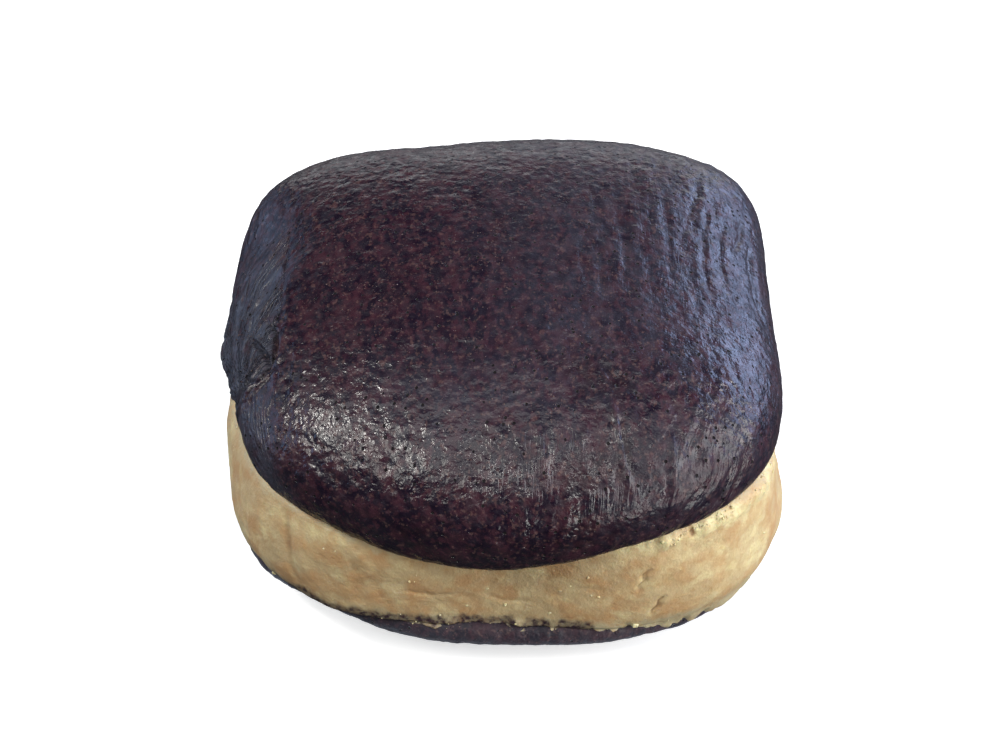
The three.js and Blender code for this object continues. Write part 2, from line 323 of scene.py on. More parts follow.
CREAM_NOISES = {
    # size in mm, detail, seed, noise that counts as low and as high, the low and the high value
    "orange": (4.2, 5.0, 1.0, 0.40, 0.62, 0.0, 1.0),
    "pale": (2.4, 5.0, 2.0, 0.46, 0.72, 0.0, 0.50),
    "broken": (1.8, 4.0, 9.0, 0.38, 0.60, 0.42, 1.2),
    "specks": (0.5, 2.0, 7.0, 0.52, 0.70, 0.0, 0.30),
    "thin": (1.0, 3.0, 8.0, 0.40, 0.62, 0.55, 1.0),
}
STREAKED = (1.0, 0.35, 1.0)  # smears of cocoa are longer up the wall than along it
CREAM_CONSTANTS = {
    "Roughness": 0.55, "Subsurface Weight": 0.25, "Subsurface Scale": 1.0,
    "Subsurface Radius": (0.0016, 0.0010, 0.0005),
}


def cream_material():
    """The cream's colour, from its own to cocoa stains and painted shade, and its soft bump."""
    material, tree, shader = new_material("peanut cream", CREAM_CONSTANTS)
    place = add(tree, "ShaderNodeTexCoord").outputs["Object"]
    relief, flow, stain, pale, dry = stored(tree, "relief", "flow", "stain", "pale", "dry")
    seen = {label: patches(tree, place, *settings) for label, settings in CREAM_NOISES.items()}

    colour = mixed(tree, seen["orange"], CREAM_TAN, CREAM_ORANGE)
    pale = maths(tree, "MULTIPLY_ADD", pale, seen["broken"], seen["pale"], clamp=True)
    colour = mixed(tree, pale, colour, CREAM_PALE)
    colour = mixed(tree, seen["specks"], colour, CREAM_ORANGE)
    dried = maths(tree, "ADD", grain(tree, place, 1.5 * MM, 3.0, 6.0), dry)
    colour = mixed(tree, between(tree, dried, 0.75, 1.2, 0.0, 0.85), colour, CREAM_DRY)
    # Painted shade: the deepest hollows of the relief are darkened.
    shaded_cracks = between(tree, relief, -0.18 * MM, -0.50 * MM, 0.0, 0.8)
    colour = mixed(tree, shaded_cracks, colour, CRACK_SHADE)
    # Cocoa stains, with a little painted shade just under the top cake.
    smear = grain(tree, vectors(tree, "MULTIPLY", flow, STREAKED), 2.0 * MM, 5.0, 3.0)
    stained = between(tree, maths(tree, "MULTIPLY_ADD", smear, 2.4, stain), 1.60, 2.20)
    stained = maths(tree, "MULTIPLY", stained, seen["thin"])
    tree.links.new(mixed(tree, stained, colour, COCOA_STAIN), shader.inputs["Base Color"])

    fine = grain(tree, place, 0.4 * MM, 2.0, 5.0)
    height = maths(tree, "MULTIPLY_ADD", fine, 0.45, grain(tree, place, 1.6 * MM, 3.0, 4.0))
    roughen(tree, height, 0.7, 0.3, [shader.inputs["Normal"]])
    return material


peanut_cream = cream_material()
print("cream material:", peanut_cream.name)

# %% [markdown]
# ## The outline that the layers share
#
# Seen from above, the pie is a rounded square. A superellipse gives that in one formula: with a
# power of 2 it is an ellipse, and with more it gets squarer. Soft food is never even, so each layer
# swells or is pressed in towards each side and corner. All of it is worked out in millimetres, for
# a whole array of angles at once.

# %% Sizes and the shared outline
HALF_WIDTH = 45.0
HALF_DEPTH = 42.5
SQUARENESS = 2.8
PIE_HEIGHT = 48.0
CREAM_TOP = 26.5
CREAM_FLOOR = 10.0
GAP = 0.3

# Directions are in degrees, anticlockwise as seen from above.
RIGHT, BACK_RIGHT, BACK, BACK_LEFT = 0, 45, 90, 135
LEFT, FRONT_LEFT, FRONT, FRONT_RIGHT = 180, 225, 270, 315
RIGHT_DENT, CORNER_POINT, BACK_DENT = 20, 38, 112
FOLD_FOOT, BY_NOTCH, FRONT_LIFT, RIGHT_SAG = 202, 206, 290, 340

SIDE = 25  # degrees over which a side's swell fades to half
CORNER = 22
LONG_DENT = 15
DENT = 12
POINT = 9

# Each swell is (direction, degrees over which it fades to half, millimetres).
CAKE_SWELLS = [
    (BACK_RIGHT, CORNER, 3.5), (BACK_LEFT, CORNER, 2.5), (FRONT_LEFT, CORNER, -3.5),
    (220, DENT, 0.8), (FRONT_RIGHT, CORNER, -0.5), (BACK, SIDE, 1.5), (LEFT, SIDE, -1.5),
    (RIGHT, SIDE, -2.5), (FRONT, SIDE, 2.5), (RIGHT_DENT, DENT, -1.0), (BACK_DENT, DENT, -2.0),
    (CORNER_POINT, POINT, 1.5), (BY_NOTCH, POINT, -1.3),
]
CREAM_SWELLS = [
    (BACK_RIGHT, CORNER, 2.5), (BACK_LEFT, CORNER, 1.5), (LEFT, SIDE, -2.0),
    (RIGHT, SIDE, -3.0), (FRONT, SIDE, -1.5), (FRONT_RIGHT, CORNER, 2.5),
    (RIGHT_SAG, DENT, 0.5), (195, 16, -0.3), (341, LONG_DENT, 1.2),
]
BASE_SWELLS = [
    (BACK_RIGHT, CORNER, 2.0), (BACK_LEFT, CORNER, 1.5), (RIGHT, SIDE, 1.5), (FRONT, SIDE, 1.0),
    (FRONT_LEFT, CORNER, -1.0), (FRONT_RIGHT, CORNER, 0.5), (RIGHT_SAG, DENT, 0.5),
    (216, POINT, 1.0), (231, POINT, -1.0), (345, 24, -1.4),
]
TOP_SEAM_RISES = [
    (FRONT, SIDE, -2.0), (FRONT_LEFT, CORNER, 0.5), (FRONT_RIGHT, CORNER, 2.0),
    (FOLD_FOOT, DENT, 0.5), (RIGHT_SAG, DENT, -2.5), (FRONT_LIFT, DENT, 1.0),
]
FLOOR_SEAM_RISES = [
    (FRONT, SIDE, -0.5), (FRONT_LEFT, CORNER, 0.6), (FRONT_RIGHT, CORNER, -1.5),
]


def swells(angle, parts):
    """The sum of smooth swells round the rim."""
    total = 0.0
    for at, spread, by in parts:
        fade = (np.cos(angle - math.radians(at)) - 1) / (1 - math.cos(math.radians(spread)))
        total = total + by * np.exp(math.log(2) * fade)
    return total


def outline(angle):
    """Distance from the pie's axis to the rounded square."""
    across = np.abs(np.cos(angle) / HALF_WIDTH) ** SQUARENESS
    along = np.abs(np.sin(angle) / HALF_DEPTH) ** SQUARENESS
    return (across + along) ** (-1 / SQUARENESS)


def top_seam(angle):
    """Height of the seam between the cream and the top cake."""
    return CREAM_TOP + swells(angle, TOP_SEAM_RISES)


def floor_seam(angle):
    """Height of the seam between the bottom cake and the cream."""
    return CREAM_FLOOR + swells(angle, FLOOR_SEAM_RISES)


def ease(value, start, end):
    """0 before start, 1 after end, and smooth in between."""
    share = np.clip((value - start) / (end - start), 0, 1)
    return share * share * (3 - 2 * share)


def polar(angle, radius, height):
    """Points from angles, distances from the axis and heights."""
    angle, radius, height = np.broadcast_arrays(angle, radius, height)
    return np.stack([radius * np.cos(angle), radius * np.sin(angle), height], axis=-1)


print("outline at the front:", round(float(outline(math.radians(FRONT))), 1), "mm")

# %% [markdown]
# ## The top cake's pillow
#
# The top cake is a pillow: a broad, gently domed top, round shoulders, and a lip that rolls under
# at the rim. A globe-like mesh would pinch at its pole, in the middle of the most visible surface.
# So a square net of points is bent into a disc, and its points are spread along the cake's profile
# by its true length, which keeps the faces even. Only on the pressed side and at the front, where
# the skin has its finest creases, do the points crowd closer together.

# %% Bend a square net into a pillow
LIP_HEIGHT = 5.0
LIP_DEPTH = 3.5
LIP_ROUNDNESS = 0.8
DOME_SIDE_FULLNESS = 2.6
DOME_TOP_FULLNESS = 2.25
WIDEST_FOLLOWS = 0.5  # share of the seam's rise by which the widest line rises too
PILLOW_RINGS = 150
# Where the net is denser: place from -1 to 1, spread, and how much more.
CROWDED_ACROSS = [(-0.70, 0.22, 1.1)]  # on the pressed side, left
CROWDED_ALONG = [(-0.32, 0.35, 0.8)]  # from the middle to the front
QUARTER_TURN = math.pi / 2


def crowded(rings, places):
    """Steps from -1 to 1 that lie closer together round some places."""
    even = np.linspace(-1, 1, 2001)
    density = 1 + sum(more * np.exp(-(((even - at) / spread) ** 2)) for at, spread, more in places)
    share = np.cumsum(density)
    share = (share - share[0]) / (share[-1] - share[0])
    return np.interp(np.linspace(0, 1, 2 * rings + 1), share, even)


def square_net(rings):
    """Angle and reach (0 in the middle, 1 at the rim) of a square net that is bent into a disc."""
    steps = crowded(rings, CROWDED_ACROSS), crowded(rings, CROWDED_ALONG)
    across, along = np.meshgrid(*steps, indexing="ij")
    reach = np.maximum(np.abs(across), np.abs(along))
    sideways = np.abs(across) >= np.abs(along)
    long_side = np.where(sideways, across, along)
    short_side = np.where(sideways, along, across)
    turn = np.divide(short_side, long_side, out=np.zeros_like(reach), where=long_side != 0) / 2
    middle = np.where(sideways, 0.0, 1.0) + np.where(long_side < 0, 2.0, 0.0)
    return (middle + np.where(sideways, turn, -turn)) * QUARTER_TURN, reach


def pillow_profile(bend, rim, widest, seam):
    """Radius and height where bend is 0 at the top's middle, 1 at the widest line, 2 underneath."""
    dome = QUARTER_TURN * (1 - np.minimum(bend, 1))
    lip = QUARTER_TURN * (2 - np.maximum(bend, 1))
    dome_radius = rim * np.cos(dome) ** (2 / DOME_SIDE_FULLNESS)
    dome_height = widest + (PIE_HEIGHT - widest) * np.sin(dome) ** (2 / DOME_TOP_FULLNESS)
    lip_radius = rim - LIP_DEPTH * (1 - np.sin(lip) ** LIP_ROUNDNESS)
    lip_height = widest - (widest - seam) * np.maximum(np.cos(lip), 0) ** LIP_ROUNDNESS
    above = bend <= 1
    return np.where(above, dome_radius, lip_radius), np.where(above, dome_height, lip_height)


bend_table = np.linspace(0, 2, 4001)
widest_line = CREAM_TOP + LIP_HEIGHT
table_radius, table_height = pillow_profile(bend_table, HALF_WIDTH, widest_line, CREAM_TOP)
table_steps = np.hypot(np.diff(table_radius), np.diff(table_height))
table_length = np.concatenate([[0], np.cumsum(table_steps)])
PROFILE_LENGTH = table_length[-1]

net_angle, net_reach = square_net(PILLOW_RINGS)
net_bend = np.interp(net_reach * PROFILE_LENGTH, table_length, bend_table)
print("profile length:", round(PROFILE_LENGTH, 1), "mm, points:", net_angle.size)

# %% [markdown]
# ## The pressed side and its fold
#
# The wrapper has pressed the pie's left side flat. Points that bulge past a sloping plane are moved
# back onto it. In front of a crease they are left alone, so that the front corner bulges past the
# slope in a fold, and at the foot of the crease the rim is tucked in by a notch.

# %% Press the left side onto its slope
SLOPE_TILT = math.radians(49)
SLOPE_RIDGE_X = -33.5
SLOPE_RIDGE_Z = 43.0
SLOPE_PRESS = 0.9
SLOPE_STARTS = 140  # degrees
SLOPE_FULL_FROM = 162
SLOPE_MEETS = (0.05, 0.6)  # millimetres past the slope where the press begins and is full
SLOPE_SOFT_BACK = 2.0  # how softly the slope meets the top at the back
SLOPE_SOFT_FRONT = 0.7
SLOPE_SHARPENS = (165, 188)  # degrees
CREASE_LOW = 208  # degrees, at the crease's foot
CREASE_HIGH = 190
CREASE_BENDS_FROM = 41.5  # heights between which it bends from one to the other
CREASE_BENDS_TO = 44.3
CREASE_HALF_WIDTH = 1.4  # degrees
NOTCH = (198, 5.5, 3.5)  # a swell that is taken away
NOTCH_FULL_TO = 2.0  # heights above the seam
NOTCH_FADES_TO = 9.0
NOTCH_AT_RIM = 4  # the higher, the more the notch keeps to the rim


def slope_share(angle, height):
    """How much of the slope's press is felt: all behind the crease, and none in front of it."""
    degrees = np.degrees(angle) % 360
    bend = ease(height, CREASE_BENDS_FROM, CREASE_BENDS_TO)
    crease = CREASE_LOW + (CREASE_HIGH - CREASE_LOW) * bend
    behind = 1 - ease(degrees, crease - CREASE_HALF_WIDTH, crease + CREASE_HALF_WIDTH)
    return ease(degrees, SLOPE_STARTS, SLOPE_FULL_FROM) * behind


def press_slope(points, angle):
    """Moves what bulges past the slope back onto it."""
    outwards = np.array([-math.sin(SLOPE_TILT), 0, math.cos(SLOPE_TILT)])
    beyond = (points - np.array([SLOPE_RIDGE_X, 0, SLOPE_RIDGE_Z])) @ outwards
    sharp = ease(np.degrees(angle) % 360, *SLOPE_SHARPENS)
    softness = SLOPE_SOFT_BACK + (SLOPE_SOFT_FRONT - SLOPE_SOFT_BACK) * sharp
    beyond = (beyond + np.sqrt(beyond**2 + softness**2)) / 2
    beyond = beyond * ease(beyond, *SLOPE_MEETS)
    share = SLOPE_PRESS * slope_share(angle, points[..., 2])
    return points - outwards * (share * beyond)[..., None]


def pillow(angle, bend):
    """Points of the top cake's skin, before its fine relief."""
    rim = outline(angle) + swells(angle, CAKE_SWELLS)
    rise = swells(angle, TOP_SEAM_RISES)
    widest = CREAM_TOP + LIP_HEIGHT + WIDEST_FOLLOWS * rise
    radius, height = pillow_profile(bend, rim, widest, CREAM_TOP + rise + GAP)
    tucked = 1 - ease(height - CREAM_TOP, NOTCH_FULL_TO, NOTCH_FADES_TO)
    radius = radius - swells(angle, [NOTCH]) * tucked * (radius / rim) ** NOTCH_AT_RIM
    return press_slope(polar(angle, radius, height), angle)


skin_points = pillow(net_angle, net_bend)
print("pillow spans", np.round(np.ptp(skin_points, axis=(0, 1)), 1), "mm")

# %% [markdown]
# ## From points to a mesh
#
# A mesh needs its points in one list and its faces as lists of point numbers. Each layer's points
# are worked out about the pie's axis, and the finished layer is moved sideways so that, seen from
# above, the middle of its box is the middle of its solid's box. That is all the placing there is.

# %% Helpers that make meshes
def build(name, points, faces, node):
    """A smooth-shaded object from points in millimetres, centred on its solid."""
    low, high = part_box(node)
    middle = (points.min(axis=0) + points.max(axis=0)) / 2
    shift = np.array((low + high) / 2) / MM - middle
    shift[2] = 0
    mesh = bpy.data.meshes.new(name)
    mesh.from_pydata(((points + shift) * MM).tolist(), [], faces.tolist())
    mesh.shade_smooth()
    return new_object(name, mesh)


def store(obj, **kept):
    """Keeps numbers or vectors for every point of a mesh under their names, for nodes to read."""
    for name, values in kept.items():
        kind, field = ("FLOAT_VECTOR", "vector") if values.ndim == 2 else ("FLOAT", "value")
        attribute = obj.data.attributes.new(name, kind, "POINT")
        attribute.data.foreach_set(field, values.astype(np.float32).ravel())


def read(items, field):
    """One row of three numbers for each item of a mesh, such as a point's place or normal."""
    found = np.zeros(len(items) * 3, np.float32)
    items.foreach_get(field, found)
    return found.reshape(-1, 3)


def lumps(points, size, seed):
    """Soft noise from about -1 to 1 at points in millimetres, with lumps of that size."""
    shifted = np.asarray(points) / size + np.array([seed, 2 * seed, 3 * seed]) * 7.3
    return np.array([noise.noise(Vector(place)) for place in shifted.reshape(-1, 3)])


print("mesh helpers ready")

# %% [markdown]
# ## Closing the pillow underneath
#
# The net covers the top and the lip. Underneath, where the cake lies on the cream, a few rings of
# faces run from the net's edge to the middle. Nobody sees them, but a closed mesh is one that can
# be measured, printed and weighed.

# %% Make the top cake's mesh
UNDERSIDE_SHARES = [0.96, 0.8, 0.4]  # of the lip's inner radius
UNDERSIDE_LEVEL_TO = 0.3  # the same kind of share, within which the underside is level


def net_edge(side):
    """Numbers of the net's outermost points, anticlockwise seen from above."""
    last = side - 1
    run = np.arange(last)
    front = run * side
    right = last * side + run
    back = (last - run) * side + last
    left = last - run
    return np.concatenate([front, right, back, left])


def make_top_cake():
    """Points and faces of the net, of the rings underneath, and of the cap in their middle."""
    side = net_angle.shape[0]
    points = skin_points.reshape(-1, 3)
    edge = net_edge(side)
    corner = (np.arange(side - 1)[:, None] * side + np.arange(side - 1)).ravel()
    top = np.stack([corner, corner + side, corner + side + 1, corner + 1], axis=1)
    level = CREAM_TOP + GAP
    rings = [edge]
    layers = [points]
    for share in UNDERSIDE_SHARES:
        inner = points[edge] * [share, share, 1]
        inner[:, 2] = level + (points[edge, 2] - level) * ease(share, UNDERSIDE_LEVEL_TO, 1.0)
        rings.append(sum(len(layer) for layer in layers) + np.arange(len(edge)))
        layers.append(inner)
    middle = sum(len(layer) for layer in layers)
    layers.append(np.array([[0, 0, level]]))
    faces = [top]
    for outer, inner in zip(rings, rings[1:]):
        faces.append(np.stack([outer, inner, np.roll(inner, -1), np.roll(outer, -1)], axis=1))
    inmost = rings[-1]
    cap = np.stack([inmost, np.full_like(inmost, middle), np.roll(inmost, -1)], axis=1)
    all_faces = [face for block in faces for face in block.tolist()] + cap.tolist()
    return np.concatenate(layers), np.array(all_faces, dtype=object)


top_points, top_faces = make_top_cake()
top_cake = build("top_cake_skin", top_points, top_faces, "top_cake")
print("top cake:", len(top_cake.data.polygons), "faces")

# %% [markdown]
# ## Which way the wrinkles run
#
# Wrinkles have a direction: down the front they run from the top to the rim, on the right they run
# from back to front, and on the pressed slope they all gather at the notch, as cloth does at a
# stitch. So each point of the skin gets a flow: how far across the wrinkles it lies and how far
# along them. Noise that is short across the flow and long along it then looks like wrinkles.

# %% Lay out the flow of the wrinkles
GATHER = (-42.0, -21.5)  # where the slope's wrinkles meet, on the unrolled skin
SLOPE_GUIDES = [  # wrinkles that lead the others up the slope, from the outer edge inwards
    [
        (-43.5, -19.6), (-45.8, -16.2), (-49.4, -5.9), (-51.2, 4.0), (-50.3, 13.0),
        (-47.0, 18.7), (-42.6, 21.0),
    ],
    [
        (-42.2, -19.4), (-45.1, -11.8), (-48.2, -2.5), (-47.6, 6.5), (-44.9, 9.9),
        (-40.1, 11.0), (-34.0, 14.0),
    ],
    [
        (-41.7, -19.4), (-42.5, -15.3), (-43.8, -7.7), (-42.9, -4.1), (-40.5, -2.0),
        (-35.8, 1.4), (-32.0, 5.0),
    ],
    [(-41.2, -19.6), (-41.2, -14.5), (-40.6, -10.4), (-38.6, -7.8), (-33.7, -4.7), (-31.0, -2.0)],
    [(-40.4, -20.0), (-38.6, -17.0), (-36.2, -14.4), (-34.0, -11.6), (-31.5, -8.0)],
]
LANE = 6.0  # millimetres of flow between two guides
GUIDE_CORE = 0.3  # how near a guide its pull stops growing
GUIDE_PULL = 1.6  # the higher, the more the nearest guide counts
SHINE = (-17.0, -33.0)  # the middle of the front left shoulder, ringed by small waves
WARP = 0.6  # how far the wrinkles wander from side to side
FRONT_RIGHT_WARP = 1.1  # how much further they wander at the front right
APART = 100.0  # keeps the flows of two areas from sharing the same noise

side_angle = net_angle.ravel()
unrolled = net_reach.ravel() * PROFILE_LENGTH
unrolled_x = unrolled * np.cos(side_angle)
unrolled_y = unrolled * np.sin(side_angle)
skin_x = skin_points.reshape(-1, 3)[:, 0]
skin_z = skin_points.reshape(-1, 3)[:, 2]


def seen_from(place):
    """Distance and direction of every point of the unrolled skin from a place on it."""
    aside, ahead = unrolled_x - place[0], unrolled_y - place[1]
    return np.hypot(aside, ahead), np.arctan2(ahead, aside)


def within(value, start, full_from, full_to, end):
    """1 between full_from and full_to, fading to 0 at start and end."""
    return ease(value, start, full_from) * (1 - ease(value, full_to, end))


from_gather, _ = seen_from(GATHER)
from_shine, about_shine = seen_from(SHINE)
on_slope = slope_share(side_angle, skin_z) * ease(unrolled, 33, 37)
on_waves = within(from_shine, 6, 8, 11, 14) * ease(-unrolled_x, 21, 25)
on_waves = on_waves * (1 - ease(on_slope, 0, 0.3))


def beside(place_x, place_y, path):
    """Distance from a path over an unrolled surface, and how far along the path that is."""
    starts, ends = np.array(path[:-1]), np.array(path[1:])
    lengths = np.hypot(*(ends - starts).T)
    nearest = np.full(place_x.shape, 1e9)
    reached = np.zeros(place_x.shape)
    for start, end, length, before in zip(starts, ends, lengths, np.cumsum(lengths) - lengths):
        along_x, along_y = (end - start) / length
        aside, ahead = place_x - start[0], place_y - start[1]
        run = np.clip(aside * along_x + ahead * along_y, 0, length)
        distance = np.hypot(aside - run * along_x, ahead - run * along_y)
        closer = distance < nearest
        reached = np.where(closer, before + run, reached)
        nearest = np.where(closer, distance, nearest)
    return nearest, reached, lengths.sum()


pull = [
    1 / (beside(unrolled_x, unrolled_y, guide)[0] + GUIDE_CORE) ** GUIDE_PULL
    for guide in SLOPE_GUIDES
]
fan = LANE * sum(lane * share for lane, share in enumerate(pull)) / sum(pull)

skin_places = np.stack([unrolled_x, unrolled_y, 0 * unrolled], axis=1)
wander = WARP * lumps(skin_places, 12.0, 1)
front_right = within(-unrolled_y, 26, 34, 44, 52) * within(unrolled_x, 20, 26, 34, 42)
across = unrolled_x + wander + FRONT_RIGHT_WARP * front_right * lumps(skin_places, 6.0, 11)
on_right = (unrolled_x > 12) & (unrolled_y > -23)
across = np.where(on_right, 1.1 * skin_x + 0.6 * wander + APART, across)
across = np.where(on_slope > 0.5, fan + 0.2 * wander + 2 * APART, across)
across = np.where(on_waves > 0, from_shine + 0.8 * wander + 3 * APART, across)
along = np.where(on_slope > 0.5, from_gather, unrolled_y)
along = np.where(on_waves > 0, about_shine * 12, along)  # 12 mm from the middle of the shoulder
print("points on the slope:", int((on_slope > 0.5).sum()))

# %% [markdown]
# ## How deep the wrinkles are, and how dull the skin
#
# Three kinds of wrinkle follow the flow. Folds are broad and long, creases are narrower, and lines
# are as fine as threads. Each kind has a depth for every point of the skin, because the wrapper has
# left some stretches smooth and has gathered others. So first come the areas, each from 0 outside
# to 1 inside, with their edges in millimetres on the unrolled skin. Then each depth is the largest
# that any area asks for, and polish and the painted sheen, grey-blue colour that stands in for
# reflections of the surroundings, are worked out from the same areas.

# %% Depths of the folds, creases and lines
right_side = within(unrolled_x, 8, 18, 38, 46) * within(unrolled_y, -22, -4, 30, 42)
front_side = within(-unrolled_y, 31, 36, 42, 47) * within(unrolled_x, -8, 4, 24, 32)
front_side = front_side * ease(lumps(skin_places, 5.0, 4), -0.15, 0.3)
behind_crease = ease(on_slope, 0.5, 0.8)
slope_lines = behind_crease * ease(from_gather, 0.5, 3) * (1 - ease(from_gather, 26, 40))
left_lobe = ease(-unrolled_x, 32, 38) * ease(-unrolled_y, 20, 26) * (1 - ease(on_slope, 0, 0.4))
plateau = np.exp(-(((unrolled_x + 4) / 19) ** 2) - ((unrolled_y + 28) / 7.5) ** 2)
by_crease = np.exp(-(((unrolled_x + 33) / 7) ** 2) - ((unrolled_y + 22) / 7) ** 2)
matt_right = within(-unrolled_y, 24, 31, 46, 54) * ease(unrolled_x, 10, 22)
# painted sheen on the pressed slope, where the skin would mirror the pale surroundings
slope_sheen = np.minimum(on_slope, 1) * ease(-unrolled_y, -20, 4) * ease(unrolled, 34, 39)
back_edge = ease(unrolled_y, 30, 42)
back_right = ease(unrolled_x, -14, 12) * ease(unrolled_y, -30, -14)
underneath = ease(net_bend.ravel(), 1.0, 1.4)
strokes = lumps(np.stack([unrolled_x, unrolled_y / 5, 0 * unrolled], axis=1), 1.6, 7)
stroked = within(-unrolled_y, 30, 35, 60, 61) * ease(unrolled_x, -4, 8)
stroked = stroked * (1 - ease(strokes, -0.10, 0.20))  # matt strokes down the front

polish = 0.40 + 0.60 * ease(-unrolled_y, 8, 24) + 0.35 * ease(unrolled_x, 18, 30)
polish = np.minimum(polish, 1)
for dulled, area in (
    (0.45, behind_crease), (0.4, left_lobe), (0.45, plateau), (0.65, by_crease),
    (0.54, matt_right), (0.9, underneath), (0.80, stroked),
):
    polish = polish * (1 - dulled * area)
# Painted sheen: grey-blue reflections painted on the slope, left lobe, plateau, back edge and
# right.
bloom = np.maximum.reduce([
    0.62 * slope_sheen, 0.48 * left_lobe, 0.26 * plateau, 0.25 * back_edge, 0.13 * matt_right,
    0.24 * back_right,
])
rough_share = 0.7 + 0.3 * ease(-unrolled_y, 4, 22)  # the back is smoother than the front

fold_depth = np.maximum.reduce([
    0.07 * right_side, 0.06 * slope_lines, 0.07 * left_lobe, 0.10 * front_right,
    0.04 * ease(unrolled, 30, 44),
])
crease_depth = np.maximum.reduce([
    0.07 * front_side, 0.23 * slope_lines, 0.04 * left_lobe, 0.05 * on_waves,
    0.10 * front_right, 0.05 * right_side,
])
line_share = np.maximum.reduce([
    1.0 * slope_lines, 0.35 * left_lobe, 0.20 * front_side, 0.04 * right_side, 0.07 * front_right,
])
print("deepest folds and creases:", round(fold_depth.max(), 2), round(crease_depth.max(), 2), "mm")

# %% [markdown]
# ## Creases drawn one by one
#
# A few marks are too particular for noise: the crack that winds down the slope, the pleats at the
# notch, a slit and the edge of a flap on the right, and some strong ridges. Each is a path of two
# to six points on the unrolled skin, with a depth and a width in millimetres. Nearby points of the
# skin are moved in, or out where the depth is negative, by a smooth bell curve round the path.

# %% Carve the creases
RUBBED_AT = FRONT_RIGHT + 8  # where the lip has rubbed most against the cream
CARVED = [
    # depth, width, path
    (0.95, 0.40, [
        (-41.0, -10.5), (-39.4, -12.6), (-37.7, -14.6), (-35.9, -17.3), (-35.6, -18.4),
        (-36.1, -19.6),
    ]),
    (0.40, 0.70, [(-41.6, -9.6), (-40.9, -10.8)]),
    (-0.34, 0.36, [(-40.2, -10.4), (-38.0, -13.0), (-36.2, -15.4), (-35.2, -17.4)]),
    (0.55, 0.34, [
        (-37.4, -8.6), (-35.6, -11.4), (-34.8, -13.2), (-34.4, -16.1), (-34.8, -18.3),
        (-35.6, -19.4),
    ]),
    (-0.22, 0.28, [(-38.2, -9.4), (-36.4, -12.0), (-35.4, -14.2)]),
    (-0.15, 0.45, [(-33.6, -5.8), (-32.8, -10.4), (-33.2, -13.4), (-34.0, -16.5)]),
    (-0.24, 0.34, [(-33.4, -18.1), (-35.4, -19.4), (-37.0, -19.9), (-39.0, -20.9), (-41.0, -22.4)]),
    (0.36, 0.30, [(-34.4, -18.9), (-36.4, -20.2), (-38.2, -21.1), (-40.3, -22.9)]),
    (-0.20, 0.30, [(-34.4, -19.7), (-36.2, -20.8), (-38.2, -21.8), (-39.8, -23.2)]),
    (0.28, 0.30, [(-35.0, -20.8), (-37.2, -22.2), (-39.4, -23.9), (-41.0, -25.4)]),
    (0.45, 0.40, [(-37.6, -20.6), (-40.0, -20.0), (-42.6, -21.0), (-44.6, -22.4)]),
    (0.40, 0.40, [(37.8, 16.8), (38.8, 13.5), (38.5, 10.7), (38.2, 8.4)]),
    (0.45, 0.42, [(41.2, 12.6), (41.9, 7.3), (42.9, 0.6), (43.6, -4.5)]),
    (-0.20, 0.90, [(43.0, 12.0), (43.8, 6.0), (44.6, 0.0)]),
    (0.26, 0.40, [(31.0, 15.5), (31.9, 10.0), (32.9, 4.8), (32.9, -0.7), (33.3, -4.6)]),
    (0.22, 0.36, [(31.9, 17.2), (33.4, 13.0), (34.1, 8.8)]),
    (0.24, 0.36, [(34.6, 15.2), (35.4, 8.6), (36.2, 1.5)]),
    (0.18, 0.40, [(28.0, 20.0), (28.4, 12.0), (28.9, 4.0)]),
    (-0.10, 0.50, [(20.0, 14.0), (20.8, 2.5), (20.0, -9.0)]),
    (-0.08, 0.50, [(18.2, 30.6), (19.6, 22.0), (20.0, 14.0)]),
    (-0.14, 1.00, [(-0.6, -22.9), (2.3, -23.5), (4.5, -24.9), (7.6, -25.9)]),
    (-0.42, 0.36, [(15.3, -29.0), (16.0, -33.0), (16.8, -36.4), (18.6, -41.5)]),
    (0.34, 0.34, [(16.2, -31.0), (16.9, -35.2), (18.1, -38.6)]),
    (-0.38, 0.36, [(23.0, -32.2), (23.6, -35.4), (24.4, -39.4), (24.8, -43.0)]),
    (-0.20, 0.35, [(2.0, -33.0), (2.4, -36.5), (2.2, -40.0)]),
    (-0.20, 0.32, [(5.4, -35.0), (6.0, -38.0), (6.2, -40.5)]),
    (-0.20, 0.32, [(11.6, -33.0), (11.2, -36.0), (11.8, -39.5)]),
    (0.25, 0.70, [(-18.2, -29.6), (-17.2, -30.3)]),
    (0.28, 0.75, [(-16.6, -37.8), (-15.8, -38.4)]),
    (0.22, 0.60, [(-23.0, -33.8), (-22.0, -32.8)]),
]


def bell(place_x, place_y, path, width):
    """1 on a path over an unrolled surface, fading beside it and towards its two ends."""
    nearest, reached, total = beside(place_x, place_y, path)
    rises = ease(reached, -0.3 * total, 0.25 * total)
    falls = ease(reached, 0.75 * total, 1.3 * total)
    return np.exp(-((nearest / width) ** 2)) * (rises * (1 - falls))


def carve(place_x, place_y, marks):
    """How far a surface is moved out at every point by all marks together."""
    return -sum(depth * bell(place_x, place_y, path, width) for depth, width, path in marks)


carved = carve(unrolled_x, unrolled_y, CARVED)
rubbed = 0.55 * ease(net_bend.ravel(), 1.1, 1.6)
rubbed = rubbed * (0.5 + swells(side_angle, [(RUBBED_AT, CORNER, 0.7)]))
underside_points = len(top_cake.data.vertices) - len(carved)
kept = {
    "flow": np.stack([across, along, 0 * along], axis=1) * MM,
    "fold_depth": fold_depth / rough_share * MM,
    "crease_depth": crease_depth / rough_share * MM,
    "lines": line_share,
    "carved": carved / rough_share * MM,
    "rubbed": rubbed,
    "polish": polish,
    "bloom": bloom,
    "skin": rough_share * (1 - ease(net_bend.ravel(), 1.8, 2.0)),
}
for name, values in kept.items():  # the points underneath have none of it
    zeros = np.zeros((underside_points, *values.shape[1:]))
    store(top_cake, **{name: np.concatenate([values, zeros])})
print("creases drawn by hand:", len(CARVED))

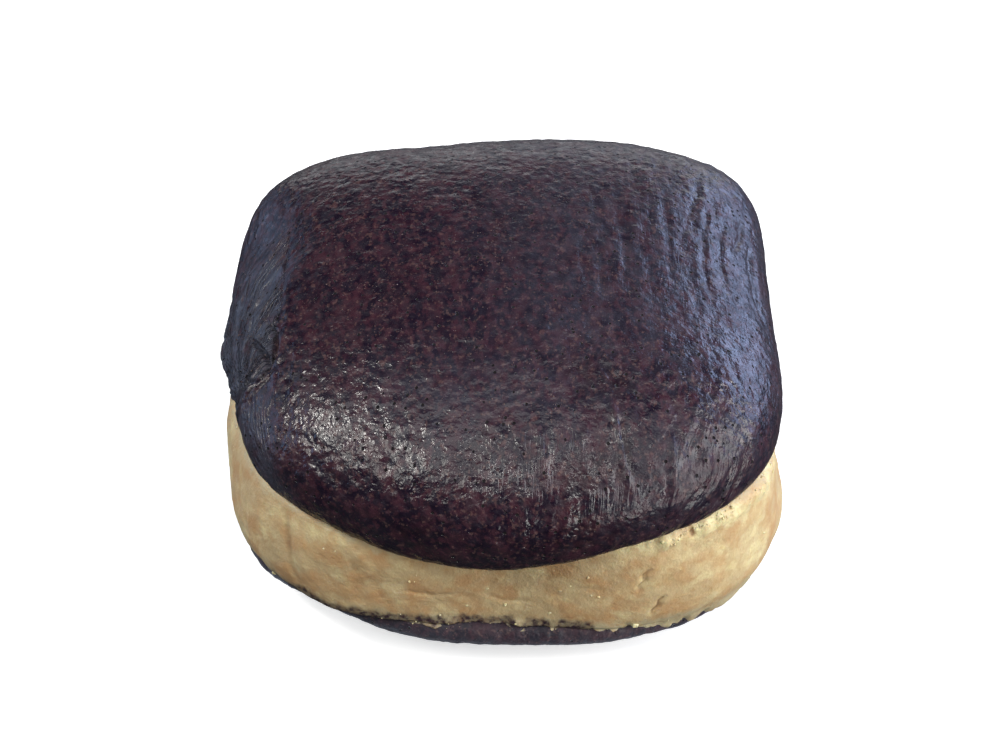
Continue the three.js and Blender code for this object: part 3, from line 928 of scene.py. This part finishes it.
# %% [markdown]
# ## Relief by Geometry Nodes
#
# One tree gives all three layers their relief. It adds up broad lumps, small pebbles, wrinkles
# along the flow, and pits, and moves each point out or in along its normal. Doing this in Geometry
# Nodes rather than in a material's bump makes it real: it shows in the outline, casts shade, and
# stays in the mesh when the pie is exported. Every size is a named input, and one table holds what
# each layer sets it to.

# %% The relief tree
TOP_LAYER, BOTTOM_LAYER, CREAM_LAYER = 0, 1, 2
RELIEF = {  # in millimetres, for each of these layers
    "lump size": (14, 9, 11),
    "lump depth": (0.45, 0.35, 0.45),
    "pebble size": (3.4, 2.4, 3.0),
    "pebble depth": (0.14, 0.22, 0.16),
    "grain size": (1.3, 1.1, 1.0),
    "grain depth": (0.13, 0.12, 0.07),
    "fold spacing": (2.6, 3, 3),
    "fold length": (20, 20, 20),
    "crease spacing": (1.5, 3, 3),
    "crease length": (6, 20, 20),
    "pit spacing": (8, 4, 9),
    "pit radius": (0.6, 0.7, 0.6),
    "pit depth": (0.22, 0.2, 0.15),
}
RELIEF_SEEDS = (3.0, 8.0, 5.0)  # for the same layers
WAVE_EDGES = (0.36, 0.58)  # noise that counts as a hollow and as a ridge


def new_tree(name, kinds):
    """A Geometry Nodes tree with a mesh going in and out, and inputs of these names and kinds."""
    tree = bpy.data.node_groups.new(name, "GeometryNodeTree")
    tree.interface.new_socket("surface", in_out="INPUT", socket_type="NodeSocketGeometry")
    for label, kind in kinds.items():
        tree.interface.new_socket(label, in_out="INPUT", socket_type="NodeSocket" + kind)
    tree.interface.new_socket("Result", in_out="OUTPUT", socket_type="NodeSocketGeometry")
    return tree, add(tree, "NodeGroupInput").outputs


def finish_tree(tree, geometry, material):
    """Ends a tree: instances become real mesh, and the material is set."""
    real = add(tree, "GeometryNodeRealizeInstances", {0: geometry})
    painted = add(tree, "GeometryNodeSetMaterial", {0: real.outputs[0], "Material": material})
    add(tree, "NodeGroupOutput", {0: painted.outputs[0]})


def named(tree, name, kind="FLOAT"):
    """Reads a stored attribute."""
    return add(tree, "GeometryNodeInputNamedAttribute", {"Name": name}, data_type=kind).outputs[0]


def centred(tree, value, depth):
    """Noise from 0 to 1 turned into a height from about -depth to depth."""
    swing = maths(tree, "MULTIPLY_ADD", value, 2.0, -1.0)
    return maths(tree, "MULTIPLY", swing, depth)


def along_flow(tree, flow, spacing, length, seed):
    """Noise from 0 to 1 whose features are `spacing` across the flow and `length` along it."""
    pitch = add(tree, "ShaderNodeCombineXYZ", {0: spacing, 1: length, 2: 1.0}).outputs[0]
    return grain(tree, vectors(tree, "DIVIDE", flow, pitch), 1.0, 1.0, seed)


def relief_tree():
    """Lumps, pebbles and grain in all directions, folds and creases along the flow, and pits."""
    kinds = {**dict.fromkeys(RELIEF, "Float"), "seed": "Float", "material": "Material"}
    tree, given = new_tree("skin relief", kinds)
    place = add(tree, "GeometryNodeInputPosition").outputs[0]
    seed = given["seed"]
    height = named(tree, "carved")
    for label in ("lump", "pebble", "grain"):
        noise_here = grain(tree, place, given[label + " size"], 1.0, seed)
        height = maths(tree, "ADD", height, centred(tree, noise_here, given[label + " depth"]))
    flow = named(tree, "flow", "FLOAT_VECTOR")
    for label in ("fold", "crease"):
        waves = along_flow(tree, flow, given[label + " spacing"], given[label + " length"], seed)
        steep = between(tree, waves, *WAVE_EDGES)
        depth = named(tree, label + "_depth")
        height = maths(tree, "ADD", height, centred(tree, steep, depth))
    pit_scale = maths(tree, "DIVIDE", 1.0, given["pit spacing"])
    pits = add(tree, "ShaderNodeTexVoronoi", {"Vector": place, "Scale": pit_scale})
    rim = maths(tree, "MULTIPLY", given["pit radius"], pit_scale)
    pits = between(tree, pits.outputs["Distance"], rim, 0.0, 0.0, given["pit depth"])
    height = maths(tree, "SUBTRACT", height, pits)
    height = maths(tree, "MULTIPLY", height, named(tree, "skin"))

    facing = add(tree, "GeometryNodeInputNormal").outputs[0]
    inputs = {"Geometry": given["surface"], "Name": "relief", "Value": height}
    marked = add(tree, "GeometryNodeStoreNamedAttribute", inputs, data_type="FLOAT")
    inputs = {"Geometry": marked.outputs[0], "Offset": vectors(tree, "SCALE", facing, height)}
    moved = add(tree, "GeometryNodeSetPosition", inputs)
    finish_tree(tree, moved.outputs[0], given["material"])
    return tree


skin_relief = relief_tree()


def grow(obj, tree, inputs):
    """Runs a tree on an object, and turns the object into the plain mesh that comes out."""
    modifier = obj.modifiers.new(tree.name, "NODES")
    modifier.node_group = tree
    for item in tree.interface.items_tree:
        if item.in_out == "INPUT" and item.name in inputs:
            modifier[item.identifier] = inputs[item.name]
    evaluated = obj.evaluated_get(bpy.context.evaluated_depsgraph_get())
    mesh = bpy.data.meshes.new_from_object(evaluated)
    obj.modifiers.remove(modifier)
    obj.data = mesh


def give_relief(obj, layer, material):
    """Grows the relief of one layer."""
    sizes = {label: row[layer] * MM for label, row in RELIEF.items()}
    grow(obj, skin_relief, {**sizes, "seed": RELIEF_SEEDS[layer], "material": material})
    print(obj.name, "with its relief:", len(obj.data.polygons), "faces")


give_relief(top_cake, TOP_LAYER, cocoa_skin)

# %% [markdown]
# ## Rings for the two lower layers
#
# The bottom cake and the cream are built of rings, one above the other, that all have the same
# number of points. The cream has smeared down over the bottom cake's rim in a thin ragged film, so
# one function tells how far the cake's side reaches at any height.

# %% Rings of the bottom cake and the cream
BASE_INSET = 2.0
FOOT_SHARE = 0.5  # the flat foot's width, as a share of the cake's
BASE_RIM_HEIGHT = 2.0
BASE_RIM_DEPTH = 1.6
BASE_SIDE_ROUNDNESS = 1.2
BASE_TUCK_ROUNDNESS = 1.1
COLUMNS = 840

column_angle = np.linspace(0, 2 * math.pi, COLUMNS, endpoint=False)
column_outline = outline(column_angle)
column_seam = floor_seam(column_angle)
rim_place = polar(column_angle, column_outline, 0.0)
base_rim = column_outline - BASE_INSET + swells(column_angle, BASE_SWELLS)
below_rim = column_seam - BASE_RIM_HEIGHT


def rings_mesh(rings, bottom, top):
    """Points and faces of a closed body from rings that run from its underside to its top."""
    points = np.concatenate([[bottom], np.concatenate(rings), [top]])
    here = np.arange(COLUMNS)
    after = np.roll(here, -1)
    faces = np.stack([0 * here, 1 + after, 1 + here], axis=1).tolist()
    for row in range(len(rings) - 1):
        low = 1 + row * COLUMNS
        high = low + COLUMNS
        faces += np.stack([low + here, low + after, high + after, high + here], axis=1).tolist()
    last = len(points) - 1
    low = last - COLUMNS
    faces += np.stack([0 * here + last, low + here, low + after], axis=1).tolist()
    return points, np.array(faces, dtype=object)


def base_side(turn):
    """One ring of the bottom cake's side: turn is 0 at the foot and a quarter turn at the rim."""
    reach = FOOT_SHARE + (1 - FOOT_SHARE) * math.sin(turn) ** BASE_SIDE_ROUNDNESS
    height = below_rim * (1 - max(0.0, math.cos(turn)) ** BASE_TUCK_ROUNDNESS)
    return polar(column_angle, reach * base_rim, height)


def base_edge(turn):
    """One ring of the bottom cake's rounded rim."""
    radius = base_rim - BASE_RIM_DEPTH * (1 - math.cos(turn))
    return polar(column_angle, radius, column_seam - BASE_RIM_HEIGHT * (1 - math.sin(turn)))


def base_reach(height):
    """How far the bottom cake's side reaches from the axis at a height, on each column."""
    cosine = np.clip(1 - height / below_rim, 0, 1) ** (1 / BASE_TUCK_ROUNDNESS)
    side = FOOT_SHARE + (1 - FOOT_SHARE) * np.sqrt(1 - cosine**2) ** BASE_SIDE_ROUNDNESS
    sine = np.clip((height - below_rim) / BASE_RIM_HEIGHT, 0, 1)
    edge = base_rim - BASE_RIM_DEPTH * (1 - np.sqrt(1 - sine**2))
    return np.where(height > below_rim, edge, side * base_rim)


print("columns round each lower layer:", COLUMNS)

# %% [markdown]
# ## The bottom cake
#
# Only the bottom cake's rim shows, as a dark band under the cream. It is a shallow bowl on a flat
# foot, with a duller, crumblier skin than the top cake's, so its relief has more pebbles and no
# wrinkles.

# %% Make the bottom cake
SIDE_RINGS = 44
EDGE_RINGS = 8


def make_bottom_cake():
    """Rings from the middle of the foot, up the side and over the rim."""
    rings = [base_side(0.0) * [share, share, 1] for share in (0.5, 1.0)]
    rings += [base_side(QUARTER_TURN * step / SIDE_RINGS) for step in range(1, SIDE_RINGS + 1)]
    rings += [base_edge(QUARTER_TURN * step / EDGE_RINGS) for step in range(1, EDGE_RINGS + 1)]
    rings.append(rings[-1] * [0.9, 0.9, 1])
    points, faces = rings_mesh(rings, [0, 0, 0], [0, 0, CREAM_FLOOR])
    return build("bottom_cake_skin", points, faces, "bottom_cake")


bottom_cake = make_bottom_cake()
bottom_height = read(bottom_cake.data.vertices, "co")[:, 2] / MM
store(
    bottom_cake,
    skin=ease(bottom_height, 0.4, 2.0),  # the flat foot has no relief
    polish=np.ones(len(bottom_height)),
    # painted sheen, stronger low on the rim, where it would mirror the floor
    bloom=0.12 + 0.33 * (1 - ease(bottom_height, 3.5, 7.0)),
)
give_relief(bottom_cake, BOTTOM_LAYER, cocoa_underside)

# %% [markdown]
# ## The cream
#
# The cream is a thick band with a nearly upright wall, pressed flat by the wrapper, from the lower
# seam to the upper one. Its lowest rings follow the bottom cake's side down, in a film that ends in
# ragged tongues. At the front right, where it has squeezed out under the top cake, noise breaks the
# bulge up into a crumbly lip.

# %% Make the cream
CREAM_INSET = 1.0
CREAM_EDGE_ROUNDING = 1.2
CREAM_EDGE_SHARPNESS = 4
WALL_RINGS = 46
SMEAR_RINGS = 12
SMEAR_FILM = 0.8  # thickness of the film on the bottom cake's side
SMEAR_LEAST = 0.03
SMEAR_STOPS = 1.2  # height under which no smear reaches
LIP_RISE = 1.0
LIP_BULGE = 1.1
FILLET_RISE = 0.5  # the cream climbs the top cake's side a little
UNDER_LIP = 1.5  # how far in from the top cake's rim the cream meets it
HIDDEN_INSET = 4  # how far the first ring lies inside the bottom cake's rim
COVERED_INSET = 7  # and how far the last one lies inside the cream's
FILLET = ((0.35, 0.5), (0.9, 0.85), (1.6, 1.0))  # insets, and shares of the rise
FRONT_FOOT = (225, 240, 290, 305)  # degrees, where the film is thin and the foot is sharp

# Swells again, as directions, spreads and millimetres.
SMEAR_SWELLS = [  # how long the smears are
    (320, LONG_DENT, 8.0), (350, 20, 9.0), (16, 16, 5.5), (FRONT_LEFT - 12, 8, 0.8),
    (256, 11, 1.0), (282, DENT, 1.2), (BACK, SIDE, 1.5),
]
LIP_SWELLS = [(308, 13, 1.0), (340, DENT, 0.5), (BACK, 20, 0.4)]  # squeezed out at the top
LEAN_LESS = [(FRONT_RIGHT + 8, 18, 0.8)]  # share by which the wall leans in less there
SKIRT_SWELLS = [(338, 20, 1.1)]  # where the cream bulges out over the bottom cake


def make_cream():
    """The cream's object, its points, and how long the smear is on each column."""
    rim = column_outline - CREAM_INSET + swells(column_angle, CREAM_SWELLS)
    low = column_seam + GAP
    high = top_seam(column_angle)
    crumbly = 0.6 + 0.8 * lumps(rim_place, 3.0, 5) + 0.6 * lumps(rim_place, 1.2, 6)
    lip = swells(column_angle, LIP_SWELLS) * np.maximum(crumbly, 0)
    uneven = 0.75 + 0.5 * lumps(rim_place, 7.0, 2) + 0.5 * lumps(rim_place, 2.2, 3)
    uneven = uneven + 0.2 * lumps(rim_place, 0.8, 4)
    ragged = swells(column_angle, SMEAR_SWELLS) * uneven - 0.3
    ragged = np.clip(ragged, SMEAR_LEAST, low - SMEAR_STOPS)
    covers = ease(ragged, 0.1, 1.0)
    cake_rim = column_outline + swells(column_angle, CAKE_SWELLS)
    lean = np.maximum(rim - CREAM_EDGE_ROUNDING - cake_rim + UNDER_LIP, 0)
    lean = lean * (1 - swells(column_angle, LEAN_LESS))
    skirt = swells(column_angle, SKIRT_SWELLS)
    wall = rim - CREAM_EDGE_ROUNDING + skirt
    front_foot = within(np.degrees(column_angle), *FRONT_FOOT)
    thick = SMEAR_FILM * covers * (1 - 0.4 * front_foot)

    rings = [polar(column_angle, base_rim - HIDDEN_INSET, low)]
    for step in range(SMEAR_RINGS, 0, -1):  # up the bottom cake's side
        share = step / SMEAR_RINGS
        height = low - ragged * share
        film = base_reach(height) + thick * (1 - 1.6 * share**4)
        radius = np.where(wall > film, wall + (film - wall) * ease(share, 0, 0.7), film)
        rings.append(polar(column_angle, np.where(covers > 0, radius, wall - 1 - share), height))
    for step in range(WALL_RINGS + 1):  # up the wall
        share = step / WALL_RINGS
        rounding = CREAM_EDGE_ROUNDING * abs(2 * share - 1) ** CREAM_EDGE_SHARPNESS
        rounding = rounding * (1 - 0.7 * (share < 0.5) * front_foot)
        radius = rim - rounding + LIP_BULGE * lip * ease(share, 0.86, 0.98)
        radius = radius - lean * ease(share, 0.25, 1.0) + skirt * (1 - ease(share, 0.15, 0.85))
        near_base = np.maximum(radius, base_reach(low) + SMEAR_FILM)
        radius = radius + covers * (near_base - radius) * (1 - ease(share, 0.0, 0.12))
        rings.append(polar(column_angle, radius, low + (high - low) * share))
    edge = rim - CREAM_EDGE_ROUNDING - lean
    for inset, rise in FILLET:  # under the top cake's lip
        climbed = high + (FILLET_RISE + LIP_RISE * lip) * rise
        rings.append(polar(column_angle, edge - inset, climbed))
    rings.append(polar(column_angle, edge - COVERED_INSET, high))
    points, faces = rings_mesh(rings, [0, 0, CREAM_FLOOR + GAP], [0, 0, CREAM_TOP])
    return build("cream_layer", points, faces, "cream"), points, ragged


cream, cream_points, smear_length = make_cream()
print("longest smear of cream:", round(smear_length.max(), 1), "mm")

# %% [markdown]
# ## Marks on the cream
#
# Soft upright creases at the front left, a few cracks, and pale patches are listed by direction and
# height on the wall. Cocoa stains the foot at the front, except where the smears are long, because
# those tongues of cream are clean. The edges along both seams are dry.

# %% Mark the cream and give it its relief
ARC = 0.78  # millimetres along the cream's wall for each degree
CREAM_CREASES = [
    # depth, width, path of degrees and heights
    (0.24, 0.8, [(227, 25.5), (228.4, 21), (229.6, 17), (231.5, 12)]),
    (0.14, 1.2, [(221, 26), (224, 20.5), (226, 15)]),
    (-0.20, 1.2, [(231, 23), (232.5, 17)]),
    (0.18, 1.2, [(241, 24), (243, 20), (243.5, 14.5)]),
    (0.15, 1.0, [(246, 18.5), (248, 15)]),
    (0.15, 0.5, [(211, 24), (212, 18)]),
    (0.15, 0.5, [(215, 22), (216, 17)]),
    (0.42, 0.27, [(298.8, 22.2), (297.6, 21.0), (298.1, 20.0), (297.0, 18.8), (297.4, 17.8)]),
    (0.42, 0.27, [(301.8, 15.8), (300.7, 14.9), (301.0, 14.0), (299.8, 12.8), (299.9, 12.0)]),
    (0.40, 0.30, [(295.6, 10), (296.8, 8.6)]),
    (0.80, 0.45, [(306.6, 28.0), (307, 26.6)]),
    (0.25, 0.35, [(315, 27.6), (318, 27.4)]),
    (0.20, 0.40, [(252, 17.4), (257, 16.4), (262, 16.8)]),
    (0.18, 0.40, [(267, 17.0), (272, 15.2), (277, 15.4)]),
    (0.15, 0.40, [(286, 19.0), (292, 18.4)]),
    (0.40, 0.40, [(219, 13.4), (221.5, 11.0), (223, 10.4)]),
]
CREAM_PATCHES = [
    # how pale, degrees, height, half-lengths along the wall and up it in millimetres
    (0.55, 232, 25.0, 6.0, 1.8), (0.5, 222, 22, 1.5, 4.0), (1.0, 300, 27.0, 6.0, 1.4),
    (1.1, 312, 27.4, 4.5, 1.7), (0.8, 326, 26.0, 5.0, 2.6), (0.5, 213, 14.0, 3.0, 2.0),
    (0.35, 340, 22.0, 5.0, 4.0), (0.6, 200, 20.0, 3.0, 6.0), (0.35, 312, 19.0, 7.0, 6.0),
    (0.6, 321, 17.0, 2.5, 4.0), (0.4, 100, 20.0, 8.0, 3.0), (0.5, 150, 22.0, 5.0, 2.0),
]
STAINED_FOOT = (200, 235, 288, 298)  # degrees

cream_angle = np.arctan2(cream_points[:, 1], cream_points[:, 0])
cream_turn = np.degrees(cream_angle) % 360
cream_arc = cream_turn * ARC
wall_height = cream_points[:, 2]
above_floor = wall_height - floor_seam(cream_angle)
below_top = top_seam(cream_angle) - wall_height
marks = [
    (depth, width, [(at * ARC, up) for at, up in path]) for depth, width, path in CREAM_CREASES
]
pale = sum(
    share * np.exp(-(((cream_arc - at * ARC) / along) ** 2) - ((wall_height - up) / rise) ** 2)
    for share, at, up, along, rise in CREAM_PATCHES
)
tongue = np.interp(cream_turn, np.degrees(column_angle), smear_length, period=360)
stain = (0.25 + 0.90 * within(cream_turn, *STAINED_FOOT)) * (1 - ease(above_floor, 0.3, 4.4))
# Painted shade: the last term darkens the cream just under the top cake, where its shade falls.
stain = stain * (1 - 0.8 * ease(tongue, 0.5, 1.3)) + 0.1 * (1 - ease(below_top, -0.6, 0.8))
dry = 0.6 * (1 - ease(above_floor, 0.5, 5.0)) + 0.6 * (1 - ease(below_top, -0.5, 3.0))
store(
    cream,
    stain=stain,
    pale=pale,
    dry=dry * (1 - np.minimum(pale, 1)),
    flow=np.stack([cream_arc, wall_height, 0 * cream_arc], axis=1) * MM,
    carved=carve(cream_arc, wall_height, marks) * MM,
    skin=ease(np.hypot(cream_points[:, 0], cream_points[:, 1]), 30, 36),  # none inside
)
give_relief(cream, CREAM_LAYER, peanut_cream)

# %% [markdown]
# ## Crumbs and grains
#
# Loose crumbs of cream sit on the ragged lip and along the lower edge, dark crumbs lie on the
# bottom cake's rim, and grains of sugar stick out of the skin. Each kind is one piece. A Geometry
# Nodes tree puts the same small lumpy ball on every given point, turned and stretched at random
# from a seed. The balls have few faces, because there are hundreds or thousands of them.

# %% The crumb tree
BALL_DETAIL = 1
KNOB_SIZE = 0.9  # of the ball's radius
CRUMB_STRETCH = (0.45, 1.3)  # least and most
CRUMB_STRAY = 0.25  # how far a crumb may lie from the layer's mesh points
CRUMB_SINK = 0.42  # share of its size by which a crumb is sunk
CHANCE_SEED = 11


def random_vector(tree, seed, least, most):
    """Three random numbers between least and most for each point."""
    inputs = {"Seed": seed, "Min": (least,) * 3, "Max": (most,) * 3}
    return add(tree, "FunctionNodeRandomValue", inputs, data_type="FLOAT_VECTOR").outputs[0]


def crumb_tree():
    """Puts a small lumpy ball on every point."""
    kinds = {"knobbliness": "Float", "seed": "Int", "material": "Material"}
    tree, given = new_tree("scattered crumbs", kinds)
    inputs = {"Radius": 1.0, "Subdivisions": BALL_DETAIL}
    ball = add(tree, "GeometryNodeMeshIcoSphere", inputs).outputs[0]
    place = add(tree, "GeometryNodeInputPosition").outputs[0]
    swell = centred(tree, grain(tree, place, KNOB_SIZE, 1.0), given["knobbliness"])
    inputs = {"Geometry": ball, "Offset": vectors(tree, "SCALE", place, swell)}
    knobbly = add(tree, "GeometryNodeSetPosition", inputs).outputs[0]
    stretch = random_vector(tree, given["seed"], *CRUMB_STRETCH)
    inputs = {
        "Points": given["surface"], "Instance": knobbly,
        "Rotation": random_vector(tree, given["seed"], 0.0, 2 * math.pi),
        "Scale": vectors(tree, "SCALE", stretch, named(tree, "size")),
    }
    placed = add(tree, "GeometryNodeInstanceOnPoints", inputs)
    finish_tree(tree, placed.outputs[0], given["material"])
    return tree


crumbs_tree = crumb_tree()
chance = np.random.default_rng(CHANCE_SEED)


def places_on(obj):
    """Every point of a finished layer in metres, with its direction in degrees and its normal."""
    points = read(obj.data.vertices, "co").astype(float)
    facing = read(obj.data.vertex_normals, "vector").astype(float)
    return points, np.degrees(np.arctan2(points[:, 1], points[:, 0])) % 360, facing


def scatter(name, parts, knobbliness, material, seed, **shares):
    """One piece made of crumbs: each part holds places, normals and radii, all in metres."""
    points, facing, sizes = (np.concatenate(column) for column in zip(*parts))
    mesh = bpy.data.meshes.new(name)
    mesh.from_pydata((points - facing * (sizes * CRUMB_SINK)[:, None]).tolist(), [], [])
    obj = new_object(name, mesh)
    same = {label: np.full(len(sizes), share) for label, share in shares.items()}
    store(obj, size=sizes, **same)
    grow(obj, crumbs_tree, {"knobbliness": knobbliness, "seed": seed, "material": material})
    print(name + ":", len(sizes), "crumbs with", len(obj.data.polygons), "faces")
    return obj


def pick(layer, wanted, count, smallest, largest):
    """Chance places on a layer. `wanted` is how likely each point is, and sizes are in mm."""
    points, degrees, facing = layer
    chosen = chance.choice(len(points), count, p=wanted / wanted.sum())
    radii = smallest + (largest - smallest) * chance.random(count) ** 2
    aside = chance.normal(0, CRUMB_STRAY * MM, (count, 3))
    aside -= facing[chosen] * (aside * facing[chosen]).sum(axis=1)[:, None]
    return points[chosen] + aside, facing[chosen], radii * MM


print("crumb tree ready:", crumbs_tree.name)

# %% [markdown]
# ## Where the crumbs lie
#
# The chance of a crumb is high where cream has squeezed out at the front right, and along the
# cream's lower edge. Larger crumbs on the wall are placed one by one.

# %% Scatter the cream's crumbs
WALL_CRUMBS = [
    # degrees, and height and radius in millimetres
    (251, 19.6, 0.40), (252, 20.8, 0.28), (266, 17.8, 0.42), (270, 14.5, 0.40), (262, 13.9, 0.35),
    (279, 13.0, 0.45), (281, 18.1, 0.40), (287, 17.4, 0.48), (288.5, 17.0, 0.34), (286, 21.4, 0.40),
    (283, 19.5, 0.22), (296, 9.4, 0.55), (294.5, 9.0, 0.50), (234, 8.6, 0.45), (235, 8.2, 0.35),
    (219, 12.2, 0.5), (220.5, 11.4, 0.45), (222, 11.8, 0.4), (218, 13.2, 0.3), (323, 18.2, 0.5),
    (125, 16.0, 0.45), (160, 12.0, 0.5), (60, 18.0, 0.4), (15, 14.0, 0.45), (340, 12.0, 0.4),
]
CREAM_OUTSIDE = 36 * MM  # only what lies further from the axis can be seen
FAR_AWAY = 99  # millimetres, for what can't be seen

cream_layer = places_on(cream)
cream_places, cream_degrees, cream_facing = cream_layer
cream_radians = np.radians(cream_degrees)
cream_height = cream_places[:, 2] / MM
outside = np.hypot(cream_places[:, 0], cream_places[:, 1]) > CREAM_OUTSIDE
on_lip = outside * within(cream_height - top_seam(cream_radians), -1.0, 0.1, 2.2, 3.0)
on_lip = on_lip * (0.03 + swells(cream_radians, LIP_SWELLS)) ** 2
off_foot = np.abs(cream_height - floor_seam(cream_radians) + 0.4)
on_foot = outside * (1 - ease(off_foot, 0.3, 1.4))
picked = [  # how many, and the smallest and the largest radius
    pick(cream_layer, on_lip, 420, 0.10, 0.34),
    pick(cream_layer, on_lip, 12, 0.20, 0.45),
    pick(cream_layer, on_foot, 200, 0.08, 0.24),
    pick(cream_layer, outside.astype(float), 90, 0.08, 0.22),
]
for degree, height, radius in WALL_CRUMBS:
    miss = np.hypot((cream_degrees - degree) * ARC, cream_height - height)
    miss = miss + FAR_AWAY * ~outside
    nearest = int(miss.argmin())
    picked.append((cream_places[[nearest]], cream_facing[[nearest]], np.array([radius * MM])))
cream_crumbs = scatter("cream_crumbs", picked, 0.5, peanut_cream, 4, pale=0.8)

# %% [markdown]
# ## Dark crumbs and sugar grains
#
# The bottom cake sheds small dark crumbs along its rim and onto the cream. The sugar grains are as
# small as real ones, a quarter of a millimetre or so, and half sunk in the skin. They crowd in soft
# clusters, which noise of a larger size lays out.

# %% Scatter the dark crumbs and the sugar grains
GRAIN_TAN = (0.11, 0.066, 0.056, 1)
NEVER_NOUGHT = 1e-9  # keeps every point possible

bottom_layer = places_on(bottom_cake)
bottom_places, bottom_degrees, _ = bottom_layer
off_rim = np.abs(bottom_places[:, 2] / MM - floor_seam(np.radians(bottom_degrees)) + 1.2)
on_rim = (1 - ease(off_rim, 0.5, 2.5)) + NEVER_NOUGHT
picked = [
    pick(bottom_layer, on_rim, 150, 0.10, 0.28),
    pick(cream_layer, on_foot, 60, 0.10, 0.30),
]
cocoa_crumbs = scatter("cocoa_crumbs", picked, 0.5, cocoa_underside, 6, polish=1.0)

sugar, sugar_tree, sugar_shader = new_material("sugar grains", {"Roughness": 0.35})
sugar_place = add(sugar_tree, "ShaderNodeTexCoord").outputs["Object"]
sugar_tint = patches(sugar_tree, sugar_place, 2.0, 2.0, 0.0, 0.35, 0.65, 0.0, 1.0)
sugar_colour = mixed(sugar_tree, sugar_tint, SKIN_RED, GRAIN_TAN)
sugar_tree.links.new(sugar_colour, sugar_shader.inputs["Base Color"])

top_layer = places_on(top_cake)
top_places = top_layer[0]
on_top = ease(top_places[:, 2] / MM, 30, 42)
on_top = on_top * (0.25 + 0.75 * ease(-top_places[:, 0] / MM, -25, 5))
crowding = 0.15 + ease(lumps(top_places / MM, 6.0, 9), -0.1, 0.5)
picked = [pick(top_layer, on_top * crowding + NEVER_NOUGHT, 2200, 0.07, 0.15)]
sugar_grains = scatter("sugar_grains", picked, 0.2, sugar, 9)

# %% [markdown]
# ## The floor and the lights
#
# A plain pale floor and soft lights, as in a small studio. A cool window and its glow stand at the
# back right, and give the skin its blue sheen. A broad lamp fills from the right, a low one lights
# the cream, a ceiling light the top, and a warm lamp hangs over the front left shoulder. Two small
# sparks sharpen the highlights there and at the front, and cards at the back and the left show up
# as faint glints. The world adds a very dim, even fill.

# %% Floor, world and lights
FLOOR_HALF = 3.0  # metres
FLOOR_CONSTANTS = {
    "Base Color": (0.9, 0.9, 0.9, 1), "Roughness": 0.9, "Specular IOR Level": 0.1,
    "Emission Color": (1, 1, 1, 1), "Emission Strength": 0.55,
}
LIGHTS_AIM = Vector((0, 0, 30 * MM))
LIGHTS = [
    # name, azimuth from +X and elevation in degrees, distance, width, height, watts, colour
    ("window", 36, 14, 1.0, 0.65, 0.35, 2.1, (0.48, 0.62, 1.0)),
    ("window glow", 34, 15, 1.05, 1.25, 0.7, 4.3, (0.50, 0.63, 1.0)),
    ("right lamp", -20, 30, 1.0, 0.8, 0.55, 9.5, (0.98, 0.97, 0.97)),
    ("left lamp", -152, 49, 0.9, 0.50, 0.34, 3.05, (1.0, 0.98, 0.92)),
    ("left spark", -178, 51, 0.9, 0.12, 0.12, 2.2, (1.0, 0.98, 0.93)),
    ("front spark", -60, 64, 0.9, 0.10, 0.10, 0.9, (1.0, 0.98, 0.93)),
    ("ceiling", -80, 78, 0.9, 0.8, 0.6, 2.0, (0.97, 0.99, 1.0)),
    ("low right lamp", -42, 0, 1.0, 0.9, 0.3, 5.9, (0.98, 1.0, 0.95)),
    ("back card", 88, 2, 1.2, 1.15, 0.5, 1.8, (0.94, 0.97, 1.0)),
    ("left card", 166, 8, 1.0, 0.85, 0.6, 2.4, (0.45, 0.64, 1.0)),
    ("slope card", 138, 2, 0.19, 0.09, 0.07, 0.011, (0.45, 0.64, 1.0)),
]
WORLD_COLOUR = (0.86, 0.91, 1.0, 1)
WORLD_STRENGTH = 0.07


def make_floor():
    """A floor that shows, but doesn't brighten the pie from below."""
    mesh = bpy.data.meshes.new("floor")
    signs = ((-1, -1), (1, -1), (1, 1), (-1, 1))
    corners = [(FLOOR_HALF * across, FLOOR_HALF * along, 0) for across, along in signs]
    mesh.from_pydata(corners, [], [(0, 1, 2, 3)])
    mesh.materials.append(new_material("pale floor", FLOOR_CONSTANTS)[0])
    floor = new_object("floor", mesh)
    floor.visible_diffuse = False
    floor.visible_glossy = False


def soft_light(name, azimuth, elevation, distance, width, height, power, colour):
    """An area light that faces the pie."""
    light = bpy.data.lights.new(name, "AREA")
    light.shape = "RECTANGLE"
    light.size = width
    light.size_y = height
    light.energy = power
    light.color = colour
    obj = new_object(name, light)
    flat = math.cos(math.radians(elevation))
    direction = Vector((
        flat * math.cos(math.radians(azimuth)),
        flat * math.sin(math.radians(azimuth)),
        math.sin(math.radians(elevation)),
    ))
    obj.location = direction * distance + LIGHTS_AIM
    obj.rotation_euler = direction.to_track_quat("Z", "Y").to_euler()


make_floor()
for settings in LIGHTS:
    soft_light(*settings)

world = bpy.data.worlds.new("studio")
world.use_nodes = True
world.node_tree.nodes["Background"].inputs[0].default_value = WORLD_COLOUR
world.node_tree.nodes["Background"].inputs[1].default_value = WORLD_STRENGTH
bpy.context.scene.world = world
bpy.context.scene.view_settings.view_transform = "Standard"

# %% [markdown]
# ## Join the pieces to the pie's body
#
# Each piece rides on the pie's one body, and the three layers stand for their plain solids.

# %% Finish
for piece, node, finish in (
    (top_cake, "top_cake", "cocoa_skin"),
    (cream, "cream", "peanut_cream"),
    (bottom_cake, "bottom_cake", "cocoa_underside"),
    (cream_crumbs, None, "peanut_cream"),
    (cocoa_crumbs, None, "cocoa_underside"),
    (sugar_grains, None, "cocoa_skin"),
):
    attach(piece, "root")
    if node:
        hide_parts(node)
